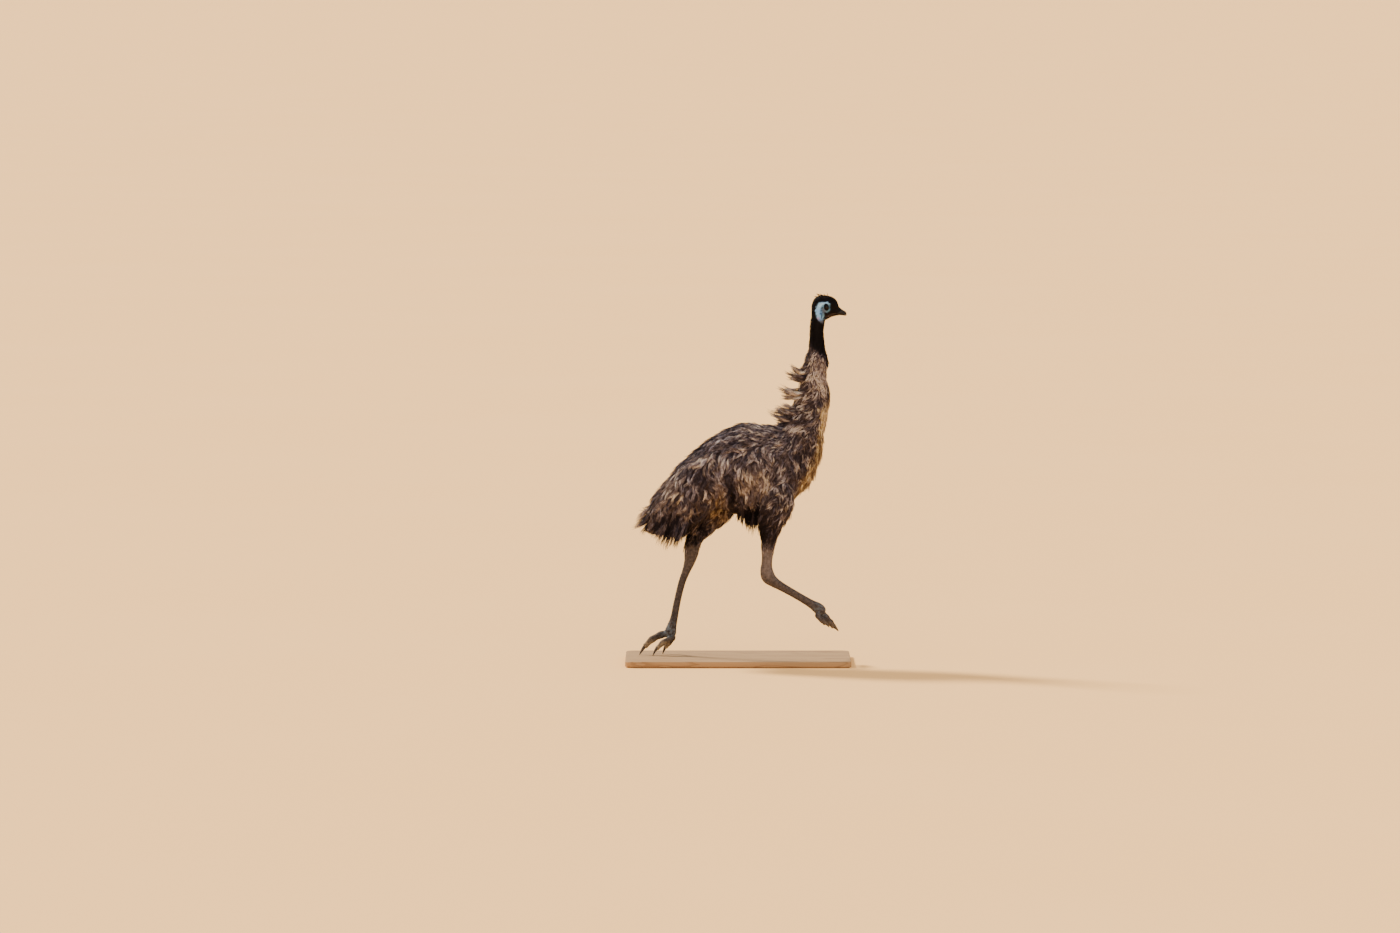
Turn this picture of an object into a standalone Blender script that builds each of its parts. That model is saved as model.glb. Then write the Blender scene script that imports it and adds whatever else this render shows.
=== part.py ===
"""An emu in full stride, life size, with its pushing foot on a flat display base.

Metres, +Z up. The bird runs along +X, its right side is at -Y, and the origin is the centre of the
base's underside. Body and limbs are lofts along smooth curves. The plumage and the head are each
modelled whole, remeshed, thinned to a few facets, and parted with thin plane cuts.
"""

import math

import bmesh
import bpy
from mathutils import Matrix, Vector

# ---- driving dimensions -------------------------------------------------------------------------

BASE_LENGTH, BASE_WIDTH, BASE_HEIGHT = 1.08, 0.58, 0.03
BASE_CORNER, BASE_EDGE = 0.03, 0.004
GAP = 0.0005  # clear space between neighbouring solids
FLOOR = BASE_HEIGHT + 0.0004  # the level of the toes' resting flats, just over the base

BODY_VOXEL, BODY_TRIANGLES = 0.0075, 2250
HEAD_VOXEL, HEAD_TRIANGLES = 0.0028, 1020
TUBE_SIDES = 12

EYE_CENTRE, EYE_RADIUS = Vector((0.4240, 0.0290, 1.7100)), 0.0122
NECK_TOP = (Vector((0.380, 0, 1.630)), Vector((0.15, 0, 1.0)))
NECK_WAIST = (Vector((0.370, 0, 1.462)), Vector((-0.05, 0, 1.0)))
NECK_MIDDLE = (Vector((0.340, 0, 1.300)), Vector((0.10, 0, 1.0)))
NECK_ROOT = (Vector((0.300, 0, 1.145)), Vector((0.33, 0, 1.0)))
TAIL_ROOT = (Vector((-0.235, 0, 0.850)), Vector((1.0, 0, 0.42)))
BILL_ROOT = (Vector((0.4800, 0, 1.690)), Vector((1.0, 0, 0.10)))

# The trunk in upright slices from breast to tail: place along X, top, underside, half width.
TRUNK_SLICES = (
    (0.415, 1.062, 1.040, 0.016),
    (0.405, 1.095, 1.002, 0.060),
    (0.385, 1.118, 0.952, 0.092),
    (0.343, 1.128, 0.848, 0.125),
    (0.298, 1.130, 0.796, 0.148),
    (0.226, 1.136, 0.746, 0.178),
    (0.130, 1.146, 0.706, 0.203),
    (0.034, 1.158, 0.688, 0.216),
    (-0.048, 1.130, 0.716, 0.220),
    (-0.110, 1.101, 0.728, 0.217),
    (-0.163, 1.072, 0.672, 0.208),
    (-0.215, 1.030, 0.618, 0.196),
    (-0.259, 0.989, 0.598, 0.180),
    (-0.336, 0.899, 0.600, 0.146),
    (-0.403, 0.812, 0.612, 0.108),
    (-0.446, 0.738, 0.632, 0.072),
    (-0.476, 0.690, 0.652, 0.032),
)
# The neck in level slices from the chest up to the skull: height, nape, throat, half width.
NECK_SLICES = (
    (0.980, 0.260, 0.378, 0.110),
    (1.060, 0.170, 0.404, 0.130),
    (1.120, 0.166, 0.416, 0.118),
    (1.180, 0.205, 0.428, 0.098),
    (1.240, 0.238, 0.438, 0.084),
    (1.310, 0.262, 0.439, 0.072),
    (1.378, 0.282, 0.424, 0.060),
    (1.435, 0.304, 0.433, 0.049),
    (1.470, 0.320, 0.427, 0.041),
    (1.500, 0.334, 0.420, 0.036),
    (1.550, 0.340, 0.413, 0.0315),
    (1.600, 0.342, 0.411, 0.0300),
    (1.645, 0.347, 0.417, 0.0300),
    (1.690, 0.355, 0.410, 0.0280),
    (1.715, 0.364, 0.400, 0.0200),
)
# The tips of the lower neck's wind-blown plumes: height of the root, then X and Z of the tip.
RUFF_TIPS = (
    (1.390, 0.248, 1.430), (1.366, 0.226, 1.394), (1.346, 0.224, 1.366),
    (1.300, 0.196, 1.326), (1.282, 0.202, 1.292),
    (1.228, 0.208, 1.250), (1.212, 0.172, 1.236), (1.194, 0.150, 1.208), (1.168, 0.150, 1.174),
)
# The tips of the plumes that hang from the belly: X and Z.
BELLY_TIPS = ((0.098, 0.632), (0.074, 0.622), (0.046, 0.640), (0.015, 0.664))
TAIL_LOCKS = 8  # on each side
LOCK_ROOT, LOCK_TIP = 0.024, 0.004  # radius of a bundle of plumes at its root and its tip
WING_CENTRE, WING_SIZE = (0.218, 0.176, 0.968), (0.102, 0.022, 0.036)  # half length, depth, height
WING_SLOPE, WING_FLARE = -32, -18  # degrees down towards the back, and out from the breast
# The skull in upright slices from nape to bill: place along X, crown, jaw, half width.
HEAD_SLICES = (
    (0.351, 1.720, 1.672, 0.010),
    (0.359, 1.742, 1.650, 0.023),
    (0.373, 1.758, 1.640, 0.0315),
    (0.394, 1.768, 1.640, 0.0360),
    (0.422, 1.767, 1.648, 0.0370),
    (0.446, 1.7625, 1.6575, 0.0340),
    (0.463, 1.7520, 1.6635, 0.0295),
    (0.474, 1.7405, 1.6670, 0.0250),
    (0.481, 1.7265, 1.6685, 0.0225),
    (0.492, 1.7080, 1.6690, 0.0195),
)
# The bill in upright slices: place along X, culmen, gape, underside, half width.
BILL_SLICES = (
    (0.478, 1.7165, 1.6810, 1.6695, 0.0228),
    (0.490, 1.7050, 1.6795, 1.6710, 0.0200),
    (0.502, 1.6960, 1.6785, 1.6700, 0.0158),
    (0.512, 1.6900, 1.6765, 1.6690, 0.0112),
    (0.518, 1.6850, 1.6745, 1.6698, 0.0068),
    (0.5205, 1.6790, 1.6728, 1.6712, 0.0030),
)
# Limbs from the hip down: X, Y and Z of the centre, half depth fore and aft, half thickness.
THIGH_RIGHT = (
    (0.174, -0.120, 0.858, 0.052, 0.034),
    (0.184, -0.132, 0.836, 0.082, 0.057),
    (0.189, -0.138, 0.792, 0.090, 0.063),
    (0.180, -0.140, 0.740, 0.082, 0.062),
    (0.158, -0.134, 0.683, 0.070, 0.057),
    (0.151, -0.128, 0.635, 0.054, 0.048),
    (0.146, -0.122, 0.587, 0.037, 0.034),
)
THIGH_LEFT = (
    (0.010, 0.105, 0.966, 0.050, 0.032),
    (-0.029, 0.126, 0.889, 0.085, 0.055),
    (-0.070, 0.134, 0.812, 0.098, 0.062),
    (-0.112, 0.126, 0.742, 0.103, 0.060),
    (-0.161, 0.112, 0.676, 0.084, 0.053),
    (-0.189, 0.099, 0.628, 0.062, 0.045),
    (-0.211, 0.090, 0.582, 0.0395, 0.034),
)
SHANK_RIGHT = (
    (0.146, -0.122, 0.587, 0.0330, 0.0300),
    (0.142, -0.119, 0.544, 0.0285, 0.0255),
    (0.138, -0.116, 0.490, 0.0255, 0.0220),
    (0.137, -0.113, 0.453, 0.0305, 0.0240),
    (0.146, -0.109, 0.421, 0.0330, 0.0245),
    (0.173, -0.103, 0.396, 0.0255, 0.0210),
    (0.211, -0.093, 0.372, 0.0205, 0.0170),
    (0.288, -0.070, 0.326, 0.0185, 0.0155),
    (0.346, -0.052, 0.290, 0.0200, 0.0190),
    (0.380, -0.041, 0.268, 0.0262, 0.0270),
    (0.396, -0.036, 0.253, 0.0275, 0.0315),
    (0.404, -0.034, 0.241, 0.0215, 0.0270),
)
SHANK_LEFT = (
    (-0.211, 0.090, 0.582, 0.0370, 0.0310),
    (-0.219, 0.087, 0.548, 0.0355, 0.0280),
    (-0.224, 0.084, 0.518, 0.0340, 0.0270),
    (-0.232, 0.081, 0.480, 0.0265, 0.0225),
    (-0.249, 0.078, 0.433, 0.0195, 0.0170),
    (-0.270, 0.075, 0.376, 0.0172, 0.0148),
    (-0.291, 0.071, 0.290, 0.0166, 0.0142),
    (-0.3065, 0.067, 0.210, 0.0180, 0.0180),
    (-0.3180, 0.064, 0.168, 0.0232, 0.0255),
    (-0.3245, 0.062, 0.140, 0.0280, 0.0320),
    (-0.3290, 0.062, 0.119, 0.0225, 0.0280),
)
HOCK_SHARE_RIGHT, HOCK_SHARE_LEFT = 0.40, 0.22  # where along the shank's curve the hock is parted

# Toes from knuckle to claw root: X, Y, Z and radius. The claw carries on from the last point.
TOES = {
    "toe_middle_right": ((0.4000, -0.0345, 0.2460, 0.0175), (0.4235, -0.0330, 0.2175, 0.0165),
                         (0.4440, -0.0315, 0.1945, 0.0155), (0.4620, -0.0305, 0.1735, 0.0125)),
    "toe_inner_right": ((0.3850, -0.0070, 0.2330, 0.0130), (0.4060, -0.0010, 0.2110, 0.0130),
                        (0.4230, 0.0020, 0.1930, 0.0105)),
    "toe_outer_right": ((0.3830, -0.0640, 0.2320, 0.0130), (0.4030, -0.0680, 0.2100, 0.0130),
                        (0.4200, -0.0680, 0.1920, 0.0105)),
    "toe_middle_left": ((-0.3350, 0.0620, 0.1345, 0.0185), (-0.3720, 0.0620, 0.1260, 0.0170),
                        (-0.4140, 0.0615, 0.1040, 0.0160), (-0.4470, 0.0610, 0.0710, 0.0125)),
    "toe_inner_left": ((-0.3240, 0.0350, 0.1150, 0.0135), (-0.3600, 0.0270, 0.0925, 0.0135),
                       (-0.3900, 0.0220, 0.0640, 0.0105)),
    "toe_outer_left": ((-0.3140, 0.0890, 0.1110, 0.0135), (-0.3320, 0.1010, 0.0850, 0.0135),
                       (-0.3490, 0.1090, 0.0620, 0.0105)),
}
CLAW_TIPS = {
    "toe_middle_right": (0.4830, -0.0300, 0.1530), "toe_inner_right": (0.4420, 0.0030, 0.1760),
    "toe_outer_right": (0.4385, -0.0670, 0.1750), "toe_middle_left": (-0.4740, 0.0600, 0.0300),
    "toe_inner_left": (-0.4090, 0.0200, 0.0300), "toe_outer_left": (-0.3620, 0.1140, 0.0300),
}
CLAW_BEND = 0.006  # how far a claw's middle bows up from its chord
CLAW_FLAT = 0.0030  # radius of a claw's blunt end
CLAW_ROOT, CLAW_SHARE = 0.008, 0.80  # how deep a claw starts in its toe, and its share of the toe's girth
TOE_PAD = 0.08  # how much a toe swells between its joints, as a share of its radius
# The cut round a thigh: its middle's distance from the bird's, its half width, its room fore and aft.
TUBE_CENTRE, TUBE_REACH, TUBE_ROOM = 0.190, 0.160, 0.010

SHADES = {  # colour, roughness
    "plumage": ((0.105, 0.080, 0.065), 0.85),
    "ruff": ((0.150, 0.115, 0.090), 0.85),
    "neck": ((0.020, 0.018, 0.018), 0.80),
    "face": ((0.180, 0.240, 0.290), 0.65),
    "bill": ((0.030, 0.026, 0.028), 0.45),
    "eye": ((0.050, 0.020, 0.010), 0.10),
    "scutes": ((0.085, 0.070, 0.060), 0.60),
    "claw": ((0.035, 0.028, 0.024), 0.40),
    "stand": ((0.420, 0.300, 0.190), 0.50),
}


# ---- small tools --------------------------------------------------------------------------------

def new_collection(name):
    """A collection linked under the scene's own."""
    made = bpy.data.collections.new(name)
    bpy.context.scene.collection.children.link(made)
    return made


def shade(name):
    """The named colour as a Principled material."""
    made = bpy.data.materials.get(name) or bpy.data.materials.new(name)
    colour, roughness = SHADES[name]
    made.use_nodes = True
    surface = made.node_tree.nodes["Principled BSDF"]
    surface.inputs["Base Color"].default_value = (*colour, 1.0)
    surface.inputs["Roughness"].default_value = roughness
    surface.inputs["Metallic"].default_value = 0.0
    return made


def add_object(name, mesh, collection, material=None):
    """A mesh object in a collection, round faces shaded smooth."""
    made = bpy.data.objects.new(name, mesh)
    collection.objects.link(made)
    if material:
        mesh.materials.clear()
        mesh.materials.append(shade(material))
        mesh.shade_smooth()
    return made


def move_into(made, collection):
    """Takes a new primitive out of the collection it landed in and puts it in this one."""
    for holder in list(made.users_collection):
        holder.objects.unlink(made)
    collection.objects.link(made)


def as_cutter(made):
    """Hides an object that only cuts others."""
    made.hide_render = True
    made.display_type = "WIRE"
    return made


def through(rows, share):
    """The Catmull-Rom curve through rows of numbers, read at a share from 0 to 1 of its length."""
    last = len(rows) - 1
    place = min(max(share, 0.0), 1.0) * last
    at = min(int(place), last - 1)
    t = place - at
    before, start, end, after = (rows[min(max(at + k, 0), last)] for k in (-1, 0, 1, 2))
    return tuple(
        0.5 * (2 * b + (c - a) * t + (2 * a - 5 * b + 4 * c - d) * t * t
               + (3 * b - a - 3 * c + d) * t ** 3)
        for a, b, c, d in zip(before, start, end, after)
    )


def loft(name, rings, collection):
    """One closed skin over a run of rings with the same number of points each."""
    shape = bmesh.new()
    grown = [[shape.verts.new(point) for point in ring] for ring in rings]
    count = len(grown[0])
    for here, there in zip(grown, grown[1:]):
        for k in range(count):
            n = (k + 1) % count
            shape.faces.new((here[k], here[n], there[n], there[k]))
    shape.faces.new(list(reversed(grown[0])))
    shape.faces.new(grown[-1])
    bmesh.ops.recalc_face_normals(shape, faces=shape.faces)
    mesh = bpy.data.meshes.new(name)
    shape.to_mesh(mesh)
    shape.free()
    return add_object(name, mesh, collection)


def upright_slices(name, rows, steps, sides, belly, collection):
    """A loft of upright slices along X. belly is how far down the slice is widest, as a share."""
    rings = []
    for step in range(steps + 1):
        x, top, low, half = through(rows, step / steps)
        widest = top - belly * (top - low)
        ring = []
        for k in range(sides):
            turn = 2 * math.pi * k / sides
            reach = (top - widest) if math.cos(turn) > 0 else (widest - low)
            across = math.copysign(abs(math.sin(turn)) ** 0.88, math.sin(turn))
            ring.append((x, half * across, widest + reach * math.cos(turn)))
        rings.append(ring)
    return loft(name, rings, collection)


def level_slices(name, rows, steps, sides, collection):
    """A loft of level slices up Z."""
    rings = []
    for step in range(steps + 1):
        z, nape, throat, half = through(rows, step / steps)
        middle, reach = (nape + throat) / 2, (throat - nape) / 2
        turns = [2 * math.pi * k / sides for k in range(sides)]
        rings.append([(middle + reach * math.cos(a), half * math.sin(a), z) for a in turns])
    return loft(name, rings, collection)


def limb_rings(rows, first, last, steps, sides=TUBE_SIDES, grow=0.0):
    """Rings square to a limb's curve, between two shares of its length."""
    rings = []
    for step in range(steps + 1):
        share = first + (last - first) * step / steps
        *centre, depth, thickness = through(rows, share)
        ahead = Vector(through(rows, share + 0.01)[:3]) - Vector(through(rows, share - 0.01)[:3])
        ahead.normalize()
        fore = Vector((0, 1, 0)).cross(ahead).normalized()
        side = ahead.cross(fore)
        turns = [2 * math.pi * k / sides for k in range(sides)]
        rings.append([
            Vector(centre) + fore * (depth + grow) * math.cos(a) + side * (thickness + grow) * math.sin(a)
            for a in turns
        ])
    return rings


def lock(name, root, tip, collection):
    """A bundle of plumes: a cone from a root inside the coat to a tip that stands clear of it."""
    root, tip = Vector(root), Vector(tip)
    along = tip - root
    bpy.ops.mesh.primitive_cone_add(vertices=8, radius1=LOCK_ROOT, radius2=LOCK_TIP, depth=along.length)
    made = bpy.context.object
    made.name = name
    made.matrix_world = (
        Matrix.Translation((root + tip) / 2) @ along.to_track_quat("Z", "Y").to_matrix().to_4x4()
    )
    move_into(made, collection)
    return made


def evaluated_mesh(obj, name):
    """The object's mesh in world space, with its modifiers applied."""
    bpy.context.view_layer.update()
    graph = bpy.context.evaluated_depsgraph_get()
    mesh = bpy.data.meshes.new_from_object(obj.evaluated_get(graph))
    mesh.transform(obj.matrix_world)
    mesh.name = name
    return mesh


def joined(name, lumps, voxel, smoothing, triangles, collection):
    """The lumps made one body: remeshed, smoothed, and thinned to about that many triangles."""
    shape = bmesh.new()
    for lump in lumps:
        mesh = evaluated_mesh(lump, "lump")
        shape.from_mesh(mesh)
        bpy.data.meshes.remove(mesh)
        bpy.data.objects.remove(lump)
    mesh = bpy.data.meshes.new(name)
    shape.to_mesh(mesh)
    shape.free()
    made = add_object(name, mesh, collection)
    remesh = made.modifiers.new("one body", "REMESH")
    remesh.mode = "VOXEL"
    remesh.voxel_size = voxel
    smooth = made.modifiers.new("blend", "SMOOTH")
    smooth.factor = 0.5
    smooth.iterations = smoothing
    dense = evaluated_mesh(made, name)
    dense.calc_loop_triangles()
    thin = made.modifiers.new("facets", "DECIMATE")
    thin.ratio = triangles / len(dense.loop_triangles)
    bpy.data.meshes.remove(dense)
    final = evaluated_mesh(made, name)
    bpy.data.objects.remove(made)
    return final


def part(mesh, name, planes):
    """The part of a closed mesh on the far side of each (point, normal), its cuts closed."""
    shape = bmesh.new()
    shape.from_mesh(mesh)
    for point, normal in planes:
        everything = shape.verts[:] + shape.edges[:] + shape.faces[:]
        bmesh.ops.bisect_plane(shape, geom=everything, dist=1e-6, plane_co=point,
                               plane_no=normal, clear_inner=True)
        rim = [edge for edge in shape.edges if edge.is_boundary]
        bmesh.ops.holes_fill(shape, edges=rim, sides=0)
    bmesh.ops.triangulate(shape, faces=shape.faces)
    made = bpy.data.meshes.new(name)
    shape.to_mesh(made)
    shape.free()
    return made


def above(plane):
    """The cut that keeps what lies on the plane's upper side, half a gap clear of it."""
    point, normal = plane
    unit = normal.normalized()
    return point + unit * GAP / 2, unit


def below(plane):
    """The cut that keeps what lies on the plane's lower side, half a gap clear of it."""
    point, normal = plane
    unit = normal.normalized()
    return point - unit * GAP / 2, -unit


def largest_body(mesh):
    """Drops all but the largest connected body of a mesh, in place."""
    shape = bmesh.new()
    shape.from_mesh(mesh)
    waiting, bodies = set(shape.verts), []
    while waiting:
        body, edge_of_body = set(), [next(iter(waiting))]
        while edge_of_body:
            vert = edge_of_body.pop()
            if vert in body:
                continue
            body.add(vert)
            edge_of_body += [edge.other_vert(vert) for edge in vert.link_edges]
        waiting -= body
        bodies.append(body)
    bodies.sort(key=len)
    for body in bodies[:-1]:
        bmesh.ops.delete(shape, geom=list(body), context="VERTS")
    shape.to_mesh(mesh)
    shape.free()


def cut_with(mesh, name, cutter, operation):
    """A copy of the mesh after a Boolean with the cutter, its slivers dropped."""
    block = bpy.data.objects.new(name, mesh.copy())
    bpy.context.scene.collection.objects.link(block)
    cut = block.modifiers.new("cut", "BOOLEAN")
    cut.operation = operation
    cut.solver = "EXACT"
    cut.object = cutter
    made = evaluated_mesh(block, name)
    bpy.data.objects.remove(block)
    largest_body(made)
    return made


def grown(mesh, name, amount, collection):
    """The closed mesh moved outwards by that amount, as a hidden cutter."""
    wider = mesh.copy()
    shape = bmesh.new()
    shape.from_mesh(wider)
    shape.normal_update()
    for vert, normal in [(vert, vert.normal.copy()) for vert in shape.verts]:
        vert.co += normal * amount
    shape.to_mesh(wider)
    shape.free()
    return as_cutter(add_object(name, wider, collection))


def hollow(obj, cutter):
    """Cuts the cutter's shape out of the object."""
    cut = obj.modifiers.new("clear of " + cutter.name, "BOOLEAN")
    cut.operation = "DIFFERENCE"
    cut.solver = "EXACT"
    cut.object = as_cutter(cutter)


# ---- plumage: lower neck, trunk, tail and wings -------------------------------------------------

def ruff_locks(collection):
    """Plumes of the lower neck that the wind of the run lifts off the nape, in three tiers."""
    made = []
    for k, (root_z, tip_x, tip_z) in enumerate(RUFF_TIPS):
        rows = [row for row in NECK_SLICES if row[0] <= root_z + 0.03]
        nape, half = rows[-1][1], rows[-1][3]
        for turn in (-52, -4, 46) if k % 2 else (-40, 8, 56):
            across, back = math.sin(math.radians(turn)), math.cos(math.radians(turn))
            root = (nape + 0.045 - 0.010 * back, 0.55 * half * across, root_z)
            behind = nape + 0.02 - (nape + 0.02 - tip_x) * back
            tip = (behind, (half + 0.034) * across, tip_z - 0.014 * across ** 2)
            made.append(lock(f"ruff lock {k} {turn}", root, tip, collection))
    return made


def tail_locks(collection):
    """Plumes of the rump that hang past the tail's lower rim."""
    made = []
    for side in (-1, 1):
        for k in range(TAIL_LOCKS):
            share = k / (TAIL_LOCKS - 1)
            x = -0.262 - 0.190 * share
            width = 0.165 - 0.120 * share ** 1.5
            root = (x + 0.020, side * width * 0.92, 0.690 + 0.01 * share)
            drop = 0.562 + 0.100 * share ** 2 + 0.010 * math.cos(2.4 * k)
            tip = (x - 0.022 - 0.012 * share, side * width, drop)
            made.append(lock(f"tail lock {side} {k}", root, tip, collection))
    made.append(lock("tail tip", (-0.440, 0, 0.700), (-0.500, 0, 0.640), collection))
    return made


def flank_locks(collection):
    """Plumes that hang from the belly between the legs."""
    made = []
    for side in (-1, 1):
        for k, (x, low) in enumerate(BELLY_TIPS):
            root, tip = (x + 0.01, side * 0.110, 0.760), (x, side * 0.112, low)
            made.append(lock(f"belly lock {side} {k}", root, tip, collection))
    return made


def wing_shape(name, side, grow, collection):
    """A small hanging wing: a slender lobe against the side of the breast."""
    bpy.ops.mesh.primitive_uv_sphere_add(segments=12, ring_count=7, radius=1.0)
    made = bpy.context.object
    made.name = name
    x, y, z = WING_CENTRE
    slope = Matrix.Rotation(math.radians(WING_SLOPE), 4, "Y")
    flare = Matrix.Rotation(math.radians(WING_FLARE * side), 4, "Z")
    size = Matrix.Diagonal((*(half + grow for half in WING_SIZE), 1.0))
    made.data.transform(Matrix.Translation((x, side * y, z)) @ slope @ flare @ size)
    move_into(made, collection)
    made.data.materials.append(shade("plumage"))
    made.data.shade_smooth()
    return made


def knee_plane(shank):
    """The plane across the top of the shank, facing up."""
    ahead = Vector(through(shank, 0.01)[:3]) - Vector(through(shank, 0.0)[:3])
    return Vector(shank[0][:3]), -ahead.normalized()


def thigh_tube(name, thigh, shank, collection):
    """A tube along the thigh that reaches from beside the midline out past the plumage."""
    side = math.copysign(1, thigh[0][1])
    rows = thigh[:-1] + shank[:2]
    wide = [(x, side * TUBE_CENTRE, z, depth + TUBE_ROOM, TUBE_REACH) for x, _, z, depth, _ in rows]
    return as_cutter(loft(name, limb_rings(wide, 0.0, 1.0, 8, 16), collection))


def build_plumage(parts, cutters):
    """Trunk, tail, lower neck, wings and feathered thighs."""
    lumps = [
        upright_slices("trunk lump", TRUNK_SLICES, 48, 40, 0.54, cutters),
        level_slices("neck lump", NECK_SLICES[:12], 44, 32, cutters),
    ]
    for thigh, shank in ((THIGH_RIGHT, SHANK_RIGHT), (THIGH_LEFT, SHANK_LEFT)):
        lumps.append(loft("thigh lump", limb_rings(thigh[:-1] + shank[:2], 0.0, 1.0, 24, 24), cutters))
    lumps += ruff_locks(cutters) + tail_locks(cutters) + flank_locks(cutters)
    whole = joined("plumage", lumps, BODY_VOXEL, 3, BODY_TRIANGLES, cutters)
    add_object("neck_middle", part(whole, "neck_middle", [above(NECK_MIDDLE), below(NECK_WAIST)]),
               parts, "ruff")
    add_object("neck_lower", part(whole, "neck_lower", [above(NECK_ROOT), below(NECK_MIDDLE)]),
               parts, "ruff")
    body = part(whole, "body", [below(NECK_ROOT)])
    bpy.data.meshes.remove(whole)
    legs = (("thigh_left", THIGH_LEFT, SHANK_LEFT), ("thigh_right", THIGH_RIGHT, SHANK_RIGHT))
    for name, rows, shank in legs:
        tube = thigh_tube(f"tube of {name}", rows, shank, cutters)
        thigh = cut_with(body, name, tube, "INTERSECT")
        add_object(name, part(thigh, name, [above(knee_plane(shank))]), parts, "plumage")
        room = grown(tube.data, f"room for {name}", 1.6 * GAP, cutters)
        body = cut_with(body, "body", room, "DIFFERENCE")
    trunk_mesh = part(body, "trunk", [above(TAIL_ROOT)])
    tail_mesh = part(body, "tail", [below(TAIL_ROOT)])
    largest_body(trunk_mesh)
    largest_body(tail_mesh)
    trunk = add_object("trunk", trunk_mesh, parts, "plumage")
    add_object("tail", tail_mesh, parts, "plumage")
    for name, side in (("wing_left", 1), ("wing_right", -1)):
        wing_shape(name, side, 0.0, parts)
        hollow(trunk, wing_shape(f"room for {name}", side, GAP, cutters))


# ---- head ---------------------------------------------------------------------------------------

def eye_ball(name, side, grow, collection):
    """One eyeball, or the room for it."""
    centre = Vector((EYE_CENTRE.x, side * EYE_CENTRE.y, EYE_CENTRE.z))
    bpy.ops.mesh.primitive_uv_sphere_add(segments=14, ring_count=8, radius=EYE_RADIUS + grow,
                                         location=centre)
    made = bpy.context.object
    made.name = name
    made.data.materials.append(shade("eye"))
    made.data.shade_smooth()
    move_into(made, collection)
    return made


def bill_half(name, upper, collection):
    """Upper or lower half of the bill, from its root plane to its tip."""
    rings = []
    steps, sides = 8, 13
    for step in range(steps + 1):
        x, culmen, gape, under, half = through(BILL_SLICES, step / steps)
        flat = gape + (GAP / 2 if upper else -GAP / 2)
        far = culmen if upper else under
        turns = [math.pi * k / (sides - 1) for k in range(sides)]
        rings.append([(x, half * math.cos(a), flat + (far - flat) * math.sin(a) ** 0.8) for a in turns])
    whole = loft(name + " whole", rings, collection)
    made = part(whole.data, name, [above(BILL_ROOT)])
    bpy.data.objects.remove(whole)
    return made


def build_head(parts, cutters):
    """Head, upper neck, bill and eyes."""
    lumps = [
        upright_slices("skull lump", HEAD_SLICES, 30, 28, 0.50, cutters),
        level_slices("throat lump", NECK_SLICES[6:], 34, 28, cutters),
    ]
    whole = joined("head whole", lumps, HEAD_VOXEL, 6, HEAD_TRIANGLES, cutters)
    head = add_object("head", part(whole, "head", [above(NECK_TOP), below(BILL_ROOT)]), parts, "face")
    add_object("neck_upper", part(whole, "neck_upper", [above(NECK_WAIST), below(NECK_TOP)]),
               parts, "neck")
    bpy.data.meshes.remove(whole)
    for name, side in (("eye_left", 1), ("eye_right", -1)):
        eye_ball(name, side, 0.0, parts)
        hollow(head, eye_ball(f"room for {name}", side, GAP, cutters))
    for name, upper in (("bill_upper", True), ("bill_lower", False)):
        add_object(name, bill_half(name, upper, cutters), parts, "bill")


# ---- legs and feet ------------------------------------------------------------------------------

def build_leg(side, rows, hock, parts):
    """The bare shank and the scaly tarsus, parted at the hock. Returns the tarsus."""
    for name, first, last, steps in ((f"shank_{side}", 0.0, hock, 6), (f"tarsus_{side}", hock, 1.0, 14)):
        rings = limb_rings(rows, first, last, steps)
        start = (rings[1][0] - rings[0][0]).normalized() * GAP
        rings[0] = [point + start for point in rings[0]]
        leg = loft(name, rings, parts)
        leg.data.materials.append(shade("scutes"))
        leg.data.shade_smooth()
    return leg


def toe_rings(points, steps, sides):
    """Rings along a toe, swollen between its joints into pads."""
    rows = [(x, y, z, radius, radius) for x, y, z, radius in points]
    rings = []
    for step in range(steps + 1):
        share = step / steps
        pads = 1.0 + TOE_PAD * math.cos(2 * math.pi * share * (len(points) - 1))
        ring = limb_rings(rows, share, share + 1e-6, 1, sides)[0]
        centre = sum(ring, Vector()) / sides
        rings.append([centre + (point - centre) * pads for point in ring])
    return rings


def claw_rings(root, tip, radius, steps, sides):
    """Rings along a claw that bows upwards and ends blunt."""
    root, tip = Vector(root), Vector(tip)
    along = (tip - root).normalized()
    side = along.cross(Vector((0, 0, 1))).normalized()
    rise = side.cross(along)
    rings = []
    for step in range(steps + 1):
        share = step / steps
        centre = root.lerp(tip, share) + rise * CLAW_BEND * math.sin(math.pi * share)
        size = CLAW_FLAT + (radius - CLAW_FLAT) * (1 - share ** 1.6)
        turns = [2 * math.pi * k / sides for k in range(sides)]
        rings.append([centre + side * size * math.cos(a) + rise * size * 0.9 * math.sin(a) for a in turns])
    return rings


def build_toe(name, points, tarsus, parts, cutters):
    """A toe and its claw, each clear of what it grows from. A claw at the base is cut flat there."""
    whole = loft(name + " whole", toe_rings(points, 3 * (len(points) - 1), 9), cutters)
    toe = add_object(name, cut_with(whole.data, name, tarsus, "DIFFERENCE"), parts, "scutes")
    root, radius = Vector(points[-1][:3]), points[-1][3]
    tip = Vector(CLAW_TIPS[name])
    start = root - (tip - root).normalized() * CLAW_ROOT
    nail = loft(name + " claw whole", claw_rings(start, tip, radius * CLAW_SHARE, 5, 8), cutters)
    claw = name.replace("toe", "claw")
    clear = cut_with(nail.data, claw, grown(whole.data, f"room for {name}", GAP, cutters), "DIFFERENCE")
    flat = part(clear, claw, [(Vector((0, 0, FLOOR)), Vector((0, 0, 1)))])
    bpy.data.objects.remove(nail)
    bpy.data.objects.remove(whole)
    add_object(claw, flat, parts, "claw")


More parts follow.
